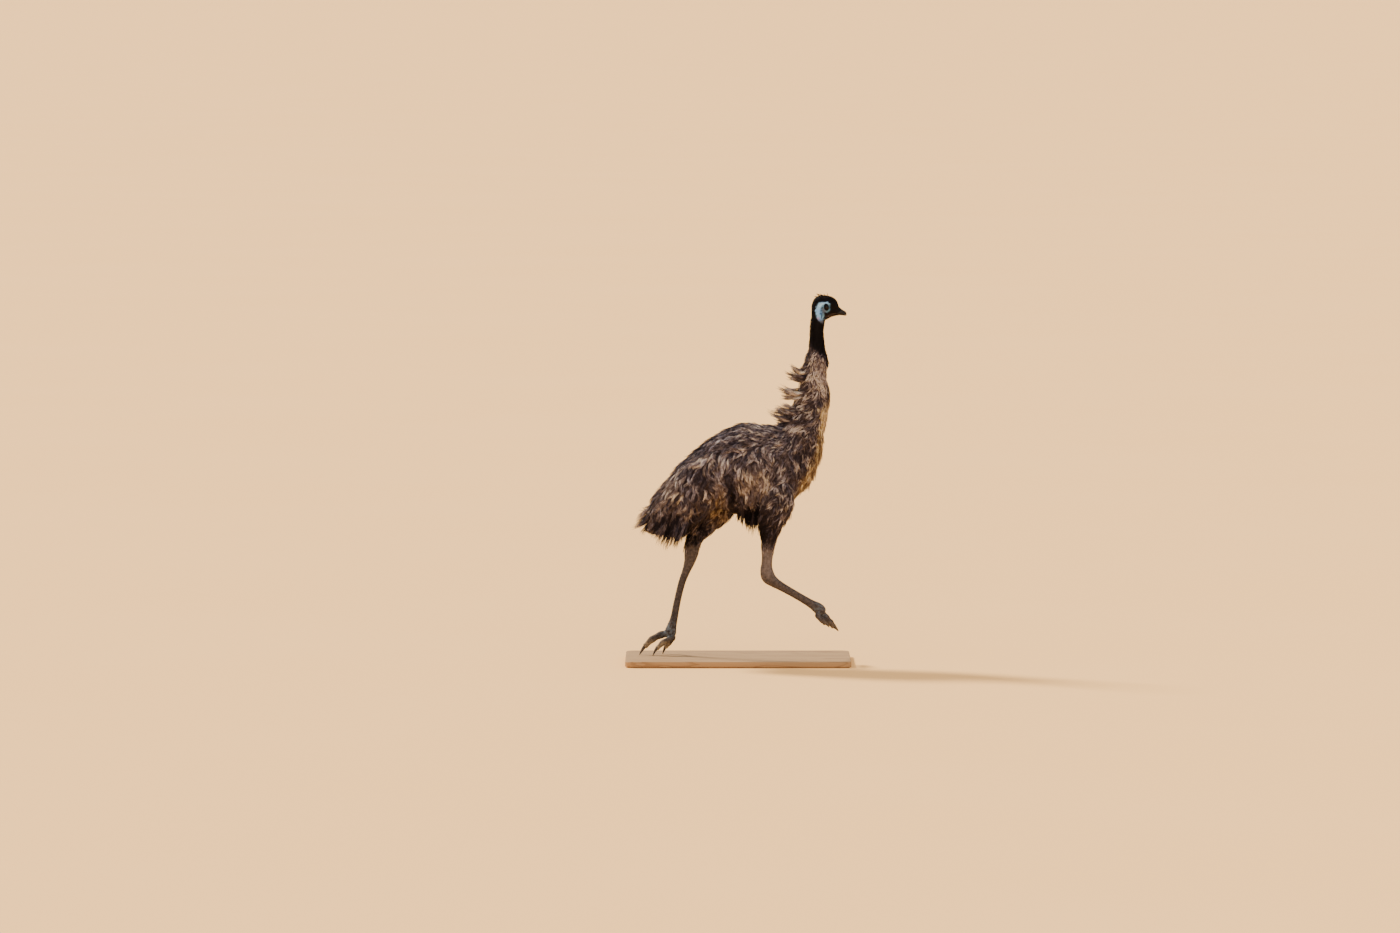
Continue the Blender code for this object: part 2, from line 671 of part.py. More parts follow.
# ---- display base -------------------------------------------------------------------------------

def build_base(parts):
    """The flat base under the pushing foot, its corners rounded and its edges eased."""
    bpy.ops.mesh.primitive_cube_add(size=1.0, location=(0, 0, BASE_HEIGHT / 2))
    base = bpy.context.object
    base.name = "stand_base"
    base.data.transform(Matrix.Diagonal((BASE_LENGTH, BASE_WIDTH, BASE_HEIGHT, 1.0)))
    move_into(base, parts)
    base.data.materials.append(shade("stand"))
    shape = bmesh.new()
    shape.from_mesh(base.data)
    upright = [edge for edge in shape.edges if abs(edge.verts[0].co.z - edge.verts[1].co.z) > BASE_HEIGHT / 2]
    bmesh.ops.bevel(shape, geom=upright, offset=BASE_CORNER, segments=4, affect="EDGES", profile=0.5)
    shape.to_mesh(base.data)
    shape.free()
    edges = base.modifiers.new("eased edges", "BEVEL")
    edges.width = BASE_EDGE
    edges.segments = 2
    edges.limit_method = "ANGLE"
    edges.angle_limit = math.radians(60)


def main():
    for obj in list(bpy.data.objects):
        bpy.data.objects.remove(obj)
    parts, cutters = new_collection("emu"), new_collection("cutters")
    build_plumage(parts, cutters)
    build_head(parts, cutters)
    rooms = {}
    for side, rows, hock in (("right", SHANK_RIGHT, HOCK_SHARE_RIGHT), ("left", SHANK_LEFT, HOCK_SHARE_LEFT)):
        tarsus = build_leg(side, rows, hock, parts)
        rooms[side] = grown(tarsus.data, f"room for tarsus {side}", GAP, cutters)
    for name, points in TOES.items():
        build_toe(name, points, rooms[name.rsplit("_", 1)[1]], parts, cutters)
    build_base(parts)


main()
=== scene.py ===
# %% [markdown]
# # An emu in full stride
#
# A museum would build this bird in layers, and so does this script: a smooth body of flesh, a
# detailed head and pair of legs, eyes and bill set in on their own, and last a coat of loose plumes.
# The frame holds the plain solids of the same bird. Everything here is laid over them, in metres.

import math

import bpy
import numpy as np
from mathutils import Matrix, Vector
from mathutils.bvhtree import BVHTree


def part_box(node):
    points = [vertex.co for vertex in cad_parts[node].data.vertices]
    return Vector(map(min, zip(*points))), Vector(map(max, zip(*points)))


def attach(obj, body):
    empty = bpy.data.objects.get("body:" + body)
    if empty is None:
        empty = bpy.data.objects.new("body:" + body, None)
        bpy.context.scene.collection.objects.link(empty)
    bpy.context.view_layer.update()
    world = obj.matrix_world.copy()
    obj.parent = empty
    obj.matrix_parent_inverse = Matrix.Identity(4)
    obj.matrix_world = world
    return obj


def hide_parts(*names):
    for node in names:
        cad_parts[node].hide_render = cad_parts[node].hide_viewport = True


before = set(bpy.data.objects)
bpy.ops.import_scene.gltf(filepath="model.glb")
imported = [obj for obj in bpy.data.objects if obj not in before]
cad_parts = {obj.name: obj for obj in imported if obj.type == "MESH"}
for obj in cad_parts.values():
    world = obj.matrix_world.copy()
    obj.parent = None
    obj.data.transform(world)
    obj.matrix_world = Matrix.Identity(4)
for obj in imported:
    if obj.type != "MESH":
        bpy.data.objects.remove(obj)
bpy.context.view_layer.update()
print("solids in the frame:", len(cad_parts))

# %% [markdown]
# ## Shapes from a few stations
#
# A body can be carved, or lofted from cross-sections as a ship is. Lofting is the better way here:
# each station has a meaning, such as the breast or the waist of the neck, and one number moves it.
# A smooth curve through the stations fills in the rest.


# %% Curves
def through(rows, shares):
    """Reads the Catmull-Rom curve through rows of numbers at each share of its length."""
    rows = np.asarray(rows, float)
    last = len(rows) - 1
    place = np.clip(np.asarray(shares, float), 0, 1) * last
    at = np.minimum(place.astype(int), last - 1)
    t = (place - at)[:, None]
    a, b, c, d = (rows[np.clip(at + k, 0, last)] for k in (-1, 0, 1, 2))
    return 0.5 * (2 * b + (c - a) * t + (2 * a - 5 * b + 4 * c - d) * t ** 2
                  + (3 * b - a - 3 * c + d) * t ** 3)


def unit(vectors):
    """The same vectors, each of length one."""
    return vectors / np.maximum(np.linalg.norm(vectors, axis=-1, keepdims=True), 1e-12)


def ease(low, high, values):
    """Rises smoothly from 0 at low to 1 at high."""
    t = np.clip((values - low) / (high - low), 0, 1)
    return t * t * (3 - 2 * t)


def near(points, place, reach):
    """1 at a place, falling smoothly to 0 at that distance from it."""
    return 1 - ease(0, 1, np.linalg.norm((points - place) / reach, axis=-1))


print("half way along an ease:", ease(0.0, 1.0, 0.5))

# %% [markdown]
# ## Rings into closed skins
#
# A loft joins rings of points with walls and closes both ends. Three kinds of ring are enough for a
# bird: upright slices for trunk and skull, level slices for the neck, and rings square to their own
# curve for the limbs. A cylinder could be bent into a leg too, but its rings would shear in the bends.

# %% Lofts
PAD_SWELL = 0.08  # how much thicker a toe is at its pads, as a share


def loft(rings):
    """A closed skin over rings of points, as vertices and faces."""
    rings = np.asarray(rings)
    count, sides = rings.shape[:2]
    verts = np.concatenate([rings.reshape(-1, 3), rings[:1].mean(1), rings[-1:].mean(1)])
    here = np.arange(count - 1)[:, None] * sides + np.arange(sides)
    turned = np.arange(count - 1)[:, None] * sides + (np.arange(sides) + 1) % sides
    walls = np.stack([here, turned, turned + sides, here + sides], -1).reshape(-1, 4)
    first, last = count * sides, count * sides + 1
    k = np.arange(sides)
    caps = [(first, (i + 1) % sides, i) for i in k]
    caps += [(last, (count - 1) * sides + i, (count - 1) * sides + (i + 1) % sides) for i in k]
    return verts, walls.tolist() + caps


def upright_slices(rows, steps, sides, widest, boxy=0.88):
    """Slices across X. widest is how far down each slice is broadest, as a share."""
    x, top, low, half = through(rows, np.linspace(0, 1, steps))[:, :4].T
    turn = np.linspace(0, 2 * math.pi, sides, endpoint=False)
    middle = top - widest * (top - low)
    reach = np.where(np.cos(turn) > 0, (top - middle)[:, None], (middle - low)[:, None])
    across = np.sign(np.sin(turn)) * np.abs(np.sin(turn)) ** boxy
    return np.stack([np.broadcast_to(x[:, None], reach.shape), half[:, None] * across,
                     middle[:, None] + reach * np.cos(turn)], -1)


def level_slices(rows, steps, sides):
    """Slices across Z, each an oval from nape to throat."""
    z, nape, throat, half = through(rows, np.linspace(0, 1, steps)).T
    turn = np.linspace(0, 2 * math.pi, sides, endpoint=False)
    centre, reach = (nape + throat) / 2, (throat - nape) / 2
    return np.stack([centre[:, None] + reach[:, None] * np.cos(turn), half[:, None] * np.sin(turn),
                     np.broadcast_to(z[:, None], (steps, sides))], -1)


def limb_rings(rows, steps, sides, pads=None):
    """Rings square to a limb's curve: each row is X, Y, Z, half depth and half thickness."""
    shares = np.linspace(0, 1, steps)
    data = through(rows, shares)
    ahead = unit(through(rows, shares + 0.01)[:, :3] - through(rows, shares - 0.01)[:, :3])
    fore = unit(np.cross([0, 1, 0], ahead))
    side = np.cross(ahead, fore)
    swell = np.ones(steps) if pads is None else 1 + PAD_SWELL * np.cos(2 * math.pi * shares * pads)
    turn = np.linspace(0, 2 * math.pi, sides, endpoint=False)[None, :, None]
    return (data[:, None, :3] + fore[:, None] * (data[:, 3] * swell)[:, None, None] * np.cos(turn)
            + side[:, None] * (data[:, 4] * swell)[:, None, None] * np.sin(turn))


print("faces of a loft over 2 rings of 8 points:", len(loft(np.zeros((2, 8, 3)))[1]))

# %% [markdown]
# ## Meshes as arrays
#
# Numbers for a hundred thousand vertices could be read one by one in a loop. It is far quicker to
# move them as one array in a single call, so each helper here wraps one such call.


# %% Meshes
def mesh_from(name, verts, faces):
    """A mesh from vertices and faces."""
    mesh = bpy.data.meshes.new(name)
    mesh.from_pydata(np.asarray(verts).tolist(), [], faces if isinstance(faces, list) else faces.tolist())
    mesh.update()
    return mesh


def add_object(name, mesh, material=None):
    """An object in the scene, shaded smooth."""
    made = bpy.data.objects.new(name, mesh)
    bpy.context.scene.collection.objects.link(made)
    mesh.shade_smooth()
    if material:
        mesh.materials.clear()
        mesh.materials.append(material)
    return made


def coordinates(mesh):
    """A mesh's vertex positions as an array."""
    flat = np.empty(len(mesh.vertices) * 3, np.float32)
    mesh.vertices.foreach_get("co", flat)
    return flat.reshape(-1, 3).astype(float)


def normals(mesh):
    """A mesh's vertex normals as an array."""
    flat = np.empty(len(mesh.vertices) * 3, np.float32)
    mesh.vertex_normals.foreach_get("vector", flat)
    return flat.reshape(-1, 3).astype(float)


def move_to(mesh, points):
    """Puts a mesh's vertices at new positions."""
    mesh.vertices.foreach_set("co", np.asarray(points, np.float32).ravel())
    mesh.update()


def write_values(mesh, name, values):
    """Stores a number for each vertex under a name that a material can read."""
    layer = mesh.attributes.get(name) or mesh.attributes.new(name, "FLOAT", "POINT")
    layer.data.foreach_set("value", np.asarray(values, np.float32))


print("meshes so far:", len(bpy.data.meshes))

# %% [markdown]
# ## Welding
#
# Lumps that only pass through each other show their seams. A voxel remesh wraps them in one even
# skin, smoothing eases the joins, and decimation takes triangles away where the skin is nearly flat.
# All three are modifiers, so nothing has to be selected or put into edit mode.

# %% Modifiers
GRAIN = {  # size of the remesh's cells in metres, and rounds of smoothing
    "body": (0.009, 6), "skull": (0.0020, 12), "head": (0.0013, 5), "leg": (0.0023, 4),
}


def with_modifiers(obj):
    """The object's mesh with its modifiers applied. The object is removed."""
    bpy.context.view_layer.update()
    graph = bpy.context.evaluated_depsgraph_get()
    mesh = bpy.data.meshes.new_from_object(obj.evaluated_get(graph))
    bpy.data.objects.remove(obj)
    return mesh


def thinned(mesh, triangles):
    """The mesh brought down to about that many triangles."""
    mesh.calc_loop_triangles()
    body = add_object("dense", mesh)
    body.modifiers.new("thin", "DECIMATE").ratio = min(1.0, triangles / len(mesh.loop_triangles))
    return with_modifiers(body)


def fused(name, lumps):
    """The lumps as one smooth body, by voxel remesh."""
    voxel, smoothing = GRAIN[name]
    verts, faces, start = [], [], 0
    for lump_verts, lump_faces in lumps:
        verts.append(lump_verts)
        faces += [tuple(v + start for v in face) for face in lump_faces]
        start += len(lump_verts)
    body = add_object(name, mesh_from(name, np.concatenate(verts), faces))
    remesh = body.modifiers.new("one body", "REMESH")
    remesh.mode = "VOXEL"
    remesh.voxel_size = voxel
    blend = body.modifiers.new("blend", "SMOOTH")
    blend.factor = 0.5
    blend.iterations = smoothing
    return with_modifiers(body)


print("finest cells, in millimetres:", 1000 * min(cell for cell, _ in GRAIN.values()))

# %% [markdown]
# ## The flesh of the trunk and neck
#
# Under its plumes an emu is a narrow, deep-breasted bird with a long neck. The flesh is lofted from
# the same stations as the outline of the coat, drawn in by the depth of the plumes. The remesh that
# follows welds neck, trunk and thighs into one body with no seam.

# %% Stations of the coat's outline
TRUNK = (  # place along X, back, belly, half width
    (0.415, 1.062, 1.040, 0.016),
    (0.405, 1.095, 1.002, 0.060),
    (0.385, 1.118, 0.952, 0.092),
    (0.343, 1.128, 0.848, 0.125),
    (0.298, 1.130, 0.796, 0.148),
    (0.226, 1.136, 0.746, 0.178),
    (0.130, 1.146, 0.706, 0.203),
    (0.034, 1.158, 0.688, 0.216),
    (-0.048, 1.130, 0.716, 0.220),
    (-0.110, 1.101, 0.728, 0.217),
    (-0.163, 1.072, 0.672, 0.208),
    (-0.215, 1.030, 0.618, 0.196),
    (-0.259, 0.989, 0.598, 0.180),
    (-0.336, 0.899, 0.600, 0.146),
    (-0.403, 0.812, 0.612, 0.108),
    (-0.446, 0.738, 0.632, 0.072),
)
NECK = (  # height, nape, throat, half width
    (0.980, 0.260, 0.378, 0.110),
    (1.060, 0.170, 0.404, 0.130),
    (1.120, 0.166, 0.416, 0.118),
    (1.180, 0.205, 0.430, 0.098),
    (1.240, 0.238, 0.441, 0.084),
    (1.310, 0.262, 0.4430, 0.072),
    (1.378, 0.282, 0.424, 0.060),
    (1.435, 0.304, 0.433, 0.049),
    (1.470, 0.320, 0.427, 0.041),
    (1.500, 0.334, 0.420, 0.036),
    (1.550, 0.340, 0.413, 0.0315),
    (1.600, 0.342, 0.411, 0.0300),
    (1.645, 0.347, 0.417, 0.0300),
    (1.690, 0.355, 0.410, 0.0280),
    (1.715, 0.364, 0.400, 0.0200),
)
THIGH_RIGHT = (  # X, Y, Z, half depth, half thickness
    (0.174, -0.120, 0.858, 0.052, 0.034),
    (0.184, -0.132, 0.836, 0.082, 0.057),
    (0.189, -0.138, 0.792, 0.090, 0.063),
    (0.180, -0.140, 0.740, 0.082, 0.062),
    (0.158, -0.134, 0.683, 0.070, 0.057),
    (0.151, -0.128, 0.635, 0.054, 0.048),
    (0.146, -0.122, 0.587, 0.0330, 0.0300),
    (0.142, -0.119, 0.544, 0.0285, 0.0255),
)
THIGH_LEFT = (
    (0.010, 0.105, 0.966, 0.050, 0.032),
    (-0.029, 0.126, 0.889, 0.085, 0.055),
    (-0.070, 0.134, 0.812, 0.098, 0.062),
    (-0.112, 0.126, 0.742, 0.103, 0.060),
    (-0.161, 0.112, 0.676, 0.084, 0.053),
    (-0.189, 0.099, 0.628, 0.062, 0.045),
    (-0.211, 0.090, 0.582, 0.0370, 0.0310),
    (-0.219, 0.087, 0.548, 0.0355, 0.0280),
)
print("stations of trunk, neck and thighs:", len(TRUNK), len(NECK), len(THIGH_RIGHT), len(THIGH_LEFT))

# %% [markdown]
# ## Under the plumes
#
# The stations give the outline of the whole bird, plumes and all. Its flesh lies a plume's depth
# further in, so each station is drawn in by that much. With one outline for both, coat and body
# can't drift apart.

# %% Depth of the plumes
BACK_DEPTH, SIDE_DEPTH, BELLY_DEPTH = 0.026, 0.028, 0.030
FULL_WIDTH = 0.15  # half width of the trunk from which its plumes have their full depth
LEAST_DEPTH = 0.006  # of the plumes on the sides, where the trunk ends
TIGHT_BACK, TIGHT_FROM = 0.013, (-0.17, -0.08)  # plumes lie closer over the top of the back
NECK_DEPTH, RUFF_DEPTH, RUFF_ENDS = 0.003, 0.023, (1.30, 1.52)
NAPE_SHARE, THROAT_SHARE, CHEEK_SHARE = 1.5, 0.30, 0.8  # of the neck's depth, on each side of it
THIGH_DEPTHS = (0.016, 0.014, 0.003, 0.001)  # from the hip to the bare end


def bared_trunk():
    """The trunk's stations drawn in by the plumes, ending where the tail's flesh does."""
    rows = [list(row) for row in TRUNK[1:-1]]
    for row in rows:
        share = min(row[3] / FULL_WIDTH, 1.0)
        row[1] -= BACK_DEPTH * (0.5 + 0.5 * share) - TIGHT_BACK * ease(*TIGHT_FROM, row[0])
        row[2] += BELLY_DEPTH
        row[3] -= SIDE_DEPTH * share + LEAST_DEPTH
    rows[0][0] -= 0.010
    return rows


def neck_depth(height):
    """How deep the plumes are at a height of the neck: deep in the ruff, a few millimetres above."""
    return NECK_DEPTH + RUFF_DEPTH * (1 - ease(*RUFF_ENDS, height))


def bared_neck(rows):
    """The neck's stations drawn in by the plumes."""
    made = []
    for z, nape, throat, half in rows:
        depth = neck_depth(z)
        made.append((z, nape + depth * NAPE_SHARE, throat - depth * THROAT_SHARE, half - depth * CHEEK_SHARE))
    return made


def bared_thigh(rows):
    """A thigh's stations drawn in by the plumes, down to bare skin at its lower end."""
    depths = np.interp(np.arange(len(rows)), [0, 4, len(rows) - 2, len(rows) - 1], THIGH_DEPTHS)
    return [(x, y, z, depth - d, half - d) for (x, y, z, depth, half), d in zip(rows, depths)]


print("depth at the foot and the top of the neck:", neck_depth(1.10), neck_depth(1.60))

# %% [markdown]
# ## The body
#
# Trunk, neck and thighs are each lofted on their own, where their sections are easy to say, and
# then fused. They only have to overlap.

# %% Body under the coat
body_mesh = fused("body", [
    loft(upright_slices(bared_trunk(), 90, 72, 0.54)),
    loft(level_slices(bared_neck(NECK[:12]), 60, 48)),
    loft(limb_rings(bared_thigh(THIGH_RIGHT), 40, 40)),
    loft(limb_rings(bared_thigh(THIGH_LEFT), 40, 40)),
])
print("body under the coat:", len(body_mesh.polygons), "faces")

# %% [markdown]
# ## Head
#
# An emu's head is a flattish wedge with a high crown, a heavy brow and a wide gape. The skull and
# throat are lofted and welded, then worked like clay: each feature is a soft push along the surface
# around a named place. The lids are a ball of flesh over each eye with an almond-shaped opening.

# %% Skull
SKULL = (  # place along X, crown, jaw, half width
    (0.354, 1.720, 1.672, 0.010),
    (0.362, 1.741, 1.650, 0.023),
    (0.374, 1.757, 1.640, 0.0315),
    (0.394, 1.7665, 1.640, 0.0360),
    (0.422, 1.7660, 1.649, 0.0365),
    (0.446, 1.7620, 1.6615, 0.0335),
    (0.462, 1.7530, 1.6665, 0.0290),
    (0.4725, 1.7425, 1.6684, 0.0245),
    (0.4790, 1.7290, 1.6696, 0.0222),
    (0.4850, 1.7105, 1.6700, 0.0202),
    (0.4960, 1.7005, 1.6712, 0.0168),
)
EYE_X, EYE_Y, EYE_Z, EYE_RADIUS = 0.4240, 0.0290, 1.7100, 0.0122
LID = 0.0017  # thickness of a lid
EAR = (0.3940, 0.0345, 1.6800)
BRISTLE_DEPTH = 0.0015
HEAD_TRIANGLES = 76000
print("skull, in millimetres:", round(1000 * (SKULL[-1][0] - SKULL[0][0])))

# %% [markdown]
# ## Lumps
#
# Two more shapes go into the head before it is worked: a ball for each eye's lids, and the skull
# drawn in by the depth of its bristles.

# %% Lumps for the head
def ball(centre, radius, rings=24, sides=32):
    """A ball as vertices and faces."""
    turn = np.linspace(0.05, math.pi - 0.05, rings)
    profile = [np.stack([np.full(sides, math.cos(a)), math.sin(a) * np.cos(b), math.sin(a) * np.sin(b)], -1)
               for a in turn for b in [np.linspace(0, 2 * math.pi, sides, endpoint=False)]]
    verts, faces = loft(np.array(profile) * radius)
    return verts + centre, faces


def slimmer(rows):
    """The skull's stations drawn in by the bristles."""
    return [(x, top - BRISTLE_DEPTH, low + BRISTLE_DEPTH * 0.5, half - BRISTLE_DEPTH * 0.6)
            for x, top, low, half in rows]


print("faces of a ball:", len(ball((0, 0, 0), EYE_RADIUS)[1]))

# %% [markdown]
# ## Where on the head
#
# Clay is pushed with a thumb, in a dab or a stroke. A dab is a place and a reach, a stroke is a line
# and a reach. Folding both sides of the head on to one lets a single stroke work both. Ripples give
# the small unevenness that no hand can avoid, from waves with a fixed seed.


# %% Dabs, strokes and ripples
def along_line(points, start, end, reach):
    """1 on a line from start to end, falling smoothly to 0 at that distance from it."""
    start, end = np.asarray(start), np.asarray(end)
    share = np.clip(((points - start) @ (end - start)) / ((end - start) @ (end - start)), 0, 1)
    gap = np.linalg.norm(points - (start + share[:, None] * (end - start)), axis=1)
    return 1 - ease(0, reach, gap)


def folded(points):
    """The same points, all on the left side."""
    return points * [1, 0, 1] + np.abs(points) * [0, 1, 0]


def ripple(points, size, seed):
    """Soft lumps of about that size, between about -1 and 1, the same each run."""
    rng = np.random.default_rng(seed)
    waves = unit(rng.normal(size=(14, 3))) * (2 * math.pi / size) * rng.uniform(0.6, 1.6, (14, 1))
    return np.sin(points @ waves.T + rng.uniform(0, 2 * math.pi, 14)).sum(1) / 3.7


print("a ripple at three places:", ripple(np.eye(3), 0.03, 1).round(2))

# %% [markdown]
# ## Working the face
#
# The strokes raise the brow and cheek and press in the lores, the temple and the jaw's edge. The
# mouth, the ear and the opening of the lids are drawn from their own distances, because their edges
# are sharper than a stroke's. Sculpting by brush would be freer, but it couldn't be read or changed.

# %% Face
STROKES = (  # push outwards, from, to, reach
    (0.0030, (0.398, 0.033, 1.7290), (0.449, 0.028, 1.7255), 0.012),  # brow
    (-0.0034, (0.448, 0.033, 1.7080), (0.472, 0.024, 1.7000), 0.014),  # lores
    (-0.0020, (0.394, 0.038, 1.7120), (0.400, 0.038, 1.6980), 0.010),  # temple
    (0.0022, (0.400, 0.036, 1.6790), (0.456, 0.028, 1.6740), 0.012),  # cheek
    (-0.0018, (0.398, 0.032, 1.6560), (0.450, 0.022, 1.6640), 0.008),  # edge of the jaw
)
CUSHION, CUSHION_REACH = 0.0036, 0.034  # flesh round each eye
LIP_DEPTH, EAR_DEPTH, CREASE, LID_DROP = 0.0018, 0.0045, 0.0007, 0.0090


def settle_eyes(mesh):
    """Raises flesh round the eyes, so that they sit in the head and not on it."""
    points, out = coordinates(mesh), normals(mesh)
    cushion = near(folded(points), (EYE_X - 0.002, 0.036, EYE_Z - 0.003), CUSHION_REACH)
    move_to(mesh, points + out * (CUSHION * cushion)[:, None])


def sculpt_head(mesh):
    """Works the features of the face into the welded head."""
    points, out = coordinates(mesh), normals(mesh)
    sides = folded(points)
    x, y, z = sides.T
    flank = ease(0.020, 0.027, y)
    push = sum(height * along_line(sides, start, end, reach) for height, start, end, reach in STROKES)
    # the mouth's corner, running back from the bill
    lip = 1.6805 - 0.10 * (0.482 - x)
    mouth = ease(0.447, 0.456, x) * ease(0.004, 0.012, y)
    push -= LIP_DEPTH * np.exp(-((z - lip) / 0.0014) ** 2) * mouth
    push += 0.0009 * np.exp(-((z - lip - 0.0036) / 0.002) ** 2) * mouth
    # the ear, a hollow with a low rim
    ear = np.hypot(x - EAR[0], (z - EAR[2]) * 0.8)
    push += 0.0010 * np.exp(-((ear - 0.0054) / 0.0016) ** 2) * flank
    push -= EAR_DEPTH * (1 - ease(0.0016, 0.0042, ear)) * flank
    # loose skin, creased along the cheek and throat
    bare = (1 - ease(0.40, 0.43, x)) * ease(1.628, 1.650, z) * (1 - ease(1.725, 1.740, z))
    creases = 1 - np.abs(ripple(sides * [1.0, 0.6, 2.4], 0.014, 3))
    push += CREASE * (creases - 0.5) * bare * ease(0.014, 0.024, y)
    moved = points + out * push[:, None]
    # the lids' opening: flesh inside the almond goes back under the eyeball
    across, above = (x - EYE_X) / 0.0098, (z - EYE_Z + 0.0004) / 0.0076
    corner = np.abs(across) ** 1.7 + np.abs(above) ** 1.9
    inside = (1 - ease(0.80, 1.10, corner)) * flank
    moved[:, 1] -= np.sign(points[:, 1]) * inside * LID_DROP
    moved += out * (0.0007 * np.exp(-((corner - 1.42) / 0.30) ** 2) * flank)[:, None]
    lid_fold = np.exp(-((corner - 2.4) / 0.40) ** 2) * flank * np.where(above > 0, 1.0, 0.6)
    moved -= out * (0.0010 * lid_fold)[:, None]
    move_to(mesh, moved)


def lump_of(mesh):
    """A mesh as vertices and faces, to weld on to others."""
    return coordinates(mesh), [tuple(face.vertices) for face in mesh.polygons]


print("strokes on the face:", len(STROKES))

# %% [markdown]
# ## The head
#
# Skull and throat are welded first and the sockets worked, then the lids are added and welded too.
# Done in one go, the weld would round the lids off with everything else.

# %% Head
skull_mesh = fused("skull", [
    loft(upright_slices(slimmer(SKULL), 60, 64, 0.50)),
    loft(level_slices(bared_neck(NECK[5:]), 90, 56)),
])
settle_eyes(skull_mesh)
lids = [ball((EYE_X, side * EYE_Y, EYE_Z), EYE_RADIUS + LID) for side in (-1, 1)]
head_mesh = fused("head", [lump_of(skull_mesh)] + lids)
sculpt_head(head_mesh)
head_mesh = thinned(head_mesh, HEAD_TRIANGLES)
print("head and upper neck:", len(head_mesh.polygons), "faces")

# %% [markdown]
# ## Legs and feet
#
# From just above the hock an emu's leg is bare: broad plates like roof tiles down the front, and
# small round scales behind. Three toes spread from one knuckle, each with pads under its joints. The legs
# are lofted tubes welded at the knuckle, and their plates are raised afterwards along each limb.

# %% Stations of the legs
SHANK_RIGHT = (
    (0.151, -0.128, 0.635, 0.0440, 0.0400),
    (0.146, -0.122, 0.587, 0.0330, 0.0300),
    (0.142, -0.119, 0.544, 0.0285, 0.0255),
    (0.138, -0.116, 0.490, 0.0255, 0.0220),
    (0.137, -0.113, 0.453, 0.0305, 0.0240),
    (0.146, -0.109, 0.421, 0.0330, 0.0245),
    (0.173, -0.103, 0.396, 0.0255, 0.0210),
    (0.211, -0.093, 0.372, 0.0205, 0.0170),
    (0.288, -0.070, 0.326, 0.0185, 0.0155),
    (0.346, -0.052, 0.290, 0.0200, 0.0190),
    (0.380, -0.041, 0.268, 0.0262, 0.0270),
    (0.396, -0.036, 0.253, 0.0275, 0.0315),
    (0.404, -0.034, 0.241, 0.0215, 0.0270),
)
SHANK_LEFT = (
    (-0.189, 0.099, 0.628, 0.0480, 0.0420),
    (-0.211, 0.090, 0.582, 0.0370, 0.0310),
    (-0.219, 0.087, 0.548, 0.0355, 0.0280),
    (-0.224, 0.084, 0.518, 0.0340, 0.0270),
    (-0.232, 0.081, 0.480, 0.0265, 0.0225),
    (-0.249, 0.078, 0.433, 0.0195, 0.0170),
    (-0.270, 0.075, 0.376, 0.0172, 0.0148),
    (-0.291, 0.071, 0.290, 0.0166, 0.0142),
    (-0.3065, 0.067, 0.210, 0.0180, 0.0180),
    (-0.3180, 0.064, 0.168, 0.0232, 0.0255),
    (-0.3245, 0.062, 0.140, 0.0280, 0.0320),
    (-0.3290, 0.062, 0.119, 0.0225, 0.0280),
)
TOES = {  # X, Y, Z and radius from the knuckle to the claw's root
    "middle_right": ((0.4000, -0.0345, 0.2460, 0.0175), (0.4235, -0.0330, 0.2175, 0.0165),
                     (0.4440, -0.0315, 0.1945, 0.0155), (0.4620, -0.0305, 0.1735, 0.0125)),
    "inner_right": ((0.3850, -0.0070, 0.2330, 0.0130), (0.4060, -0.0010, 0.2110, 0.0130),
                    (0.4230, 0.0020, 0.1930, 0.0105)),
    "outer_right": ((0.3830, -0.0640, 0.2320, 0.0130), (0.4030, -0.0680, 0.2100, 0.0130),
                    (0.4200, -0.0680, 0.1920, 0.0105)),
    "middle_left": ((-0.3350, 0.0620, 0.1345, 0.0185), (-0.3720, 0.0620, 0.1260, 0.0170),
                    (-0.4140, 0.0615, 0.1040, 0.0160), (-0.4470, 0.0610, 0.0710, 0.0125)),
    "inner_left": ((-0.3240, 0.0350, 0.1150, 0.0135), (-0.3600, 0.0270, 0.0925, 0.0135),
                   (-0.3900, 0.0220, 0.0640, 0.0105)),
    "outer_left": ((-0.3140, 0.0890, 0.1110, 0.0135), (-0.3320, 0.1010, 0.0850, 0.0135),
                   (-0.3490, 0.1090, 0.0620, 0.0105)),
}
CLAW_TIPS = {
    "middle_right": (0.4830, -0.0300, 0.1530), "inner_right": (0.4420, 0.0030, 0.1760),
    "outer_right": (0.4385, -0.0670, 0.1750), "middle_left": (-0.4740, 0.0600, 0.0300),
    "inner_left": (-0.4090, 0.0200, 0.0300), "outer_left": (-0.3620, 0.1140, 0.0300),
}
LEG_TRIANGLES = 33000
print("toes:", len(TOES), "and claws:", len(CLAW_TIPS))

# %% [markdown]
# ## Places on a limb
#
# A scale sits at a distance down the leg and a turn round it. Those two numbers are found from the
# nearest place on the limb's centre line, so a pattern on them follows every bend.

# %% Places on a limb
def toe_lump(points):
    """One toe, rounded past its last joint."""
    rows = [(*point, point[-1]) for point in points]
    rings = limb_rings(rows, 28, 28, pads=len(points) - 1)
    tip = rings[-1].mean(0) + (rings[-1].mean(0) - rings[-2].mean(0)) * 0.5
    rounded = [tip + (rings[-1] - rings[-1].mean(0)) * 0.6]
    return loft(np.concatenate([rings, rounded]))


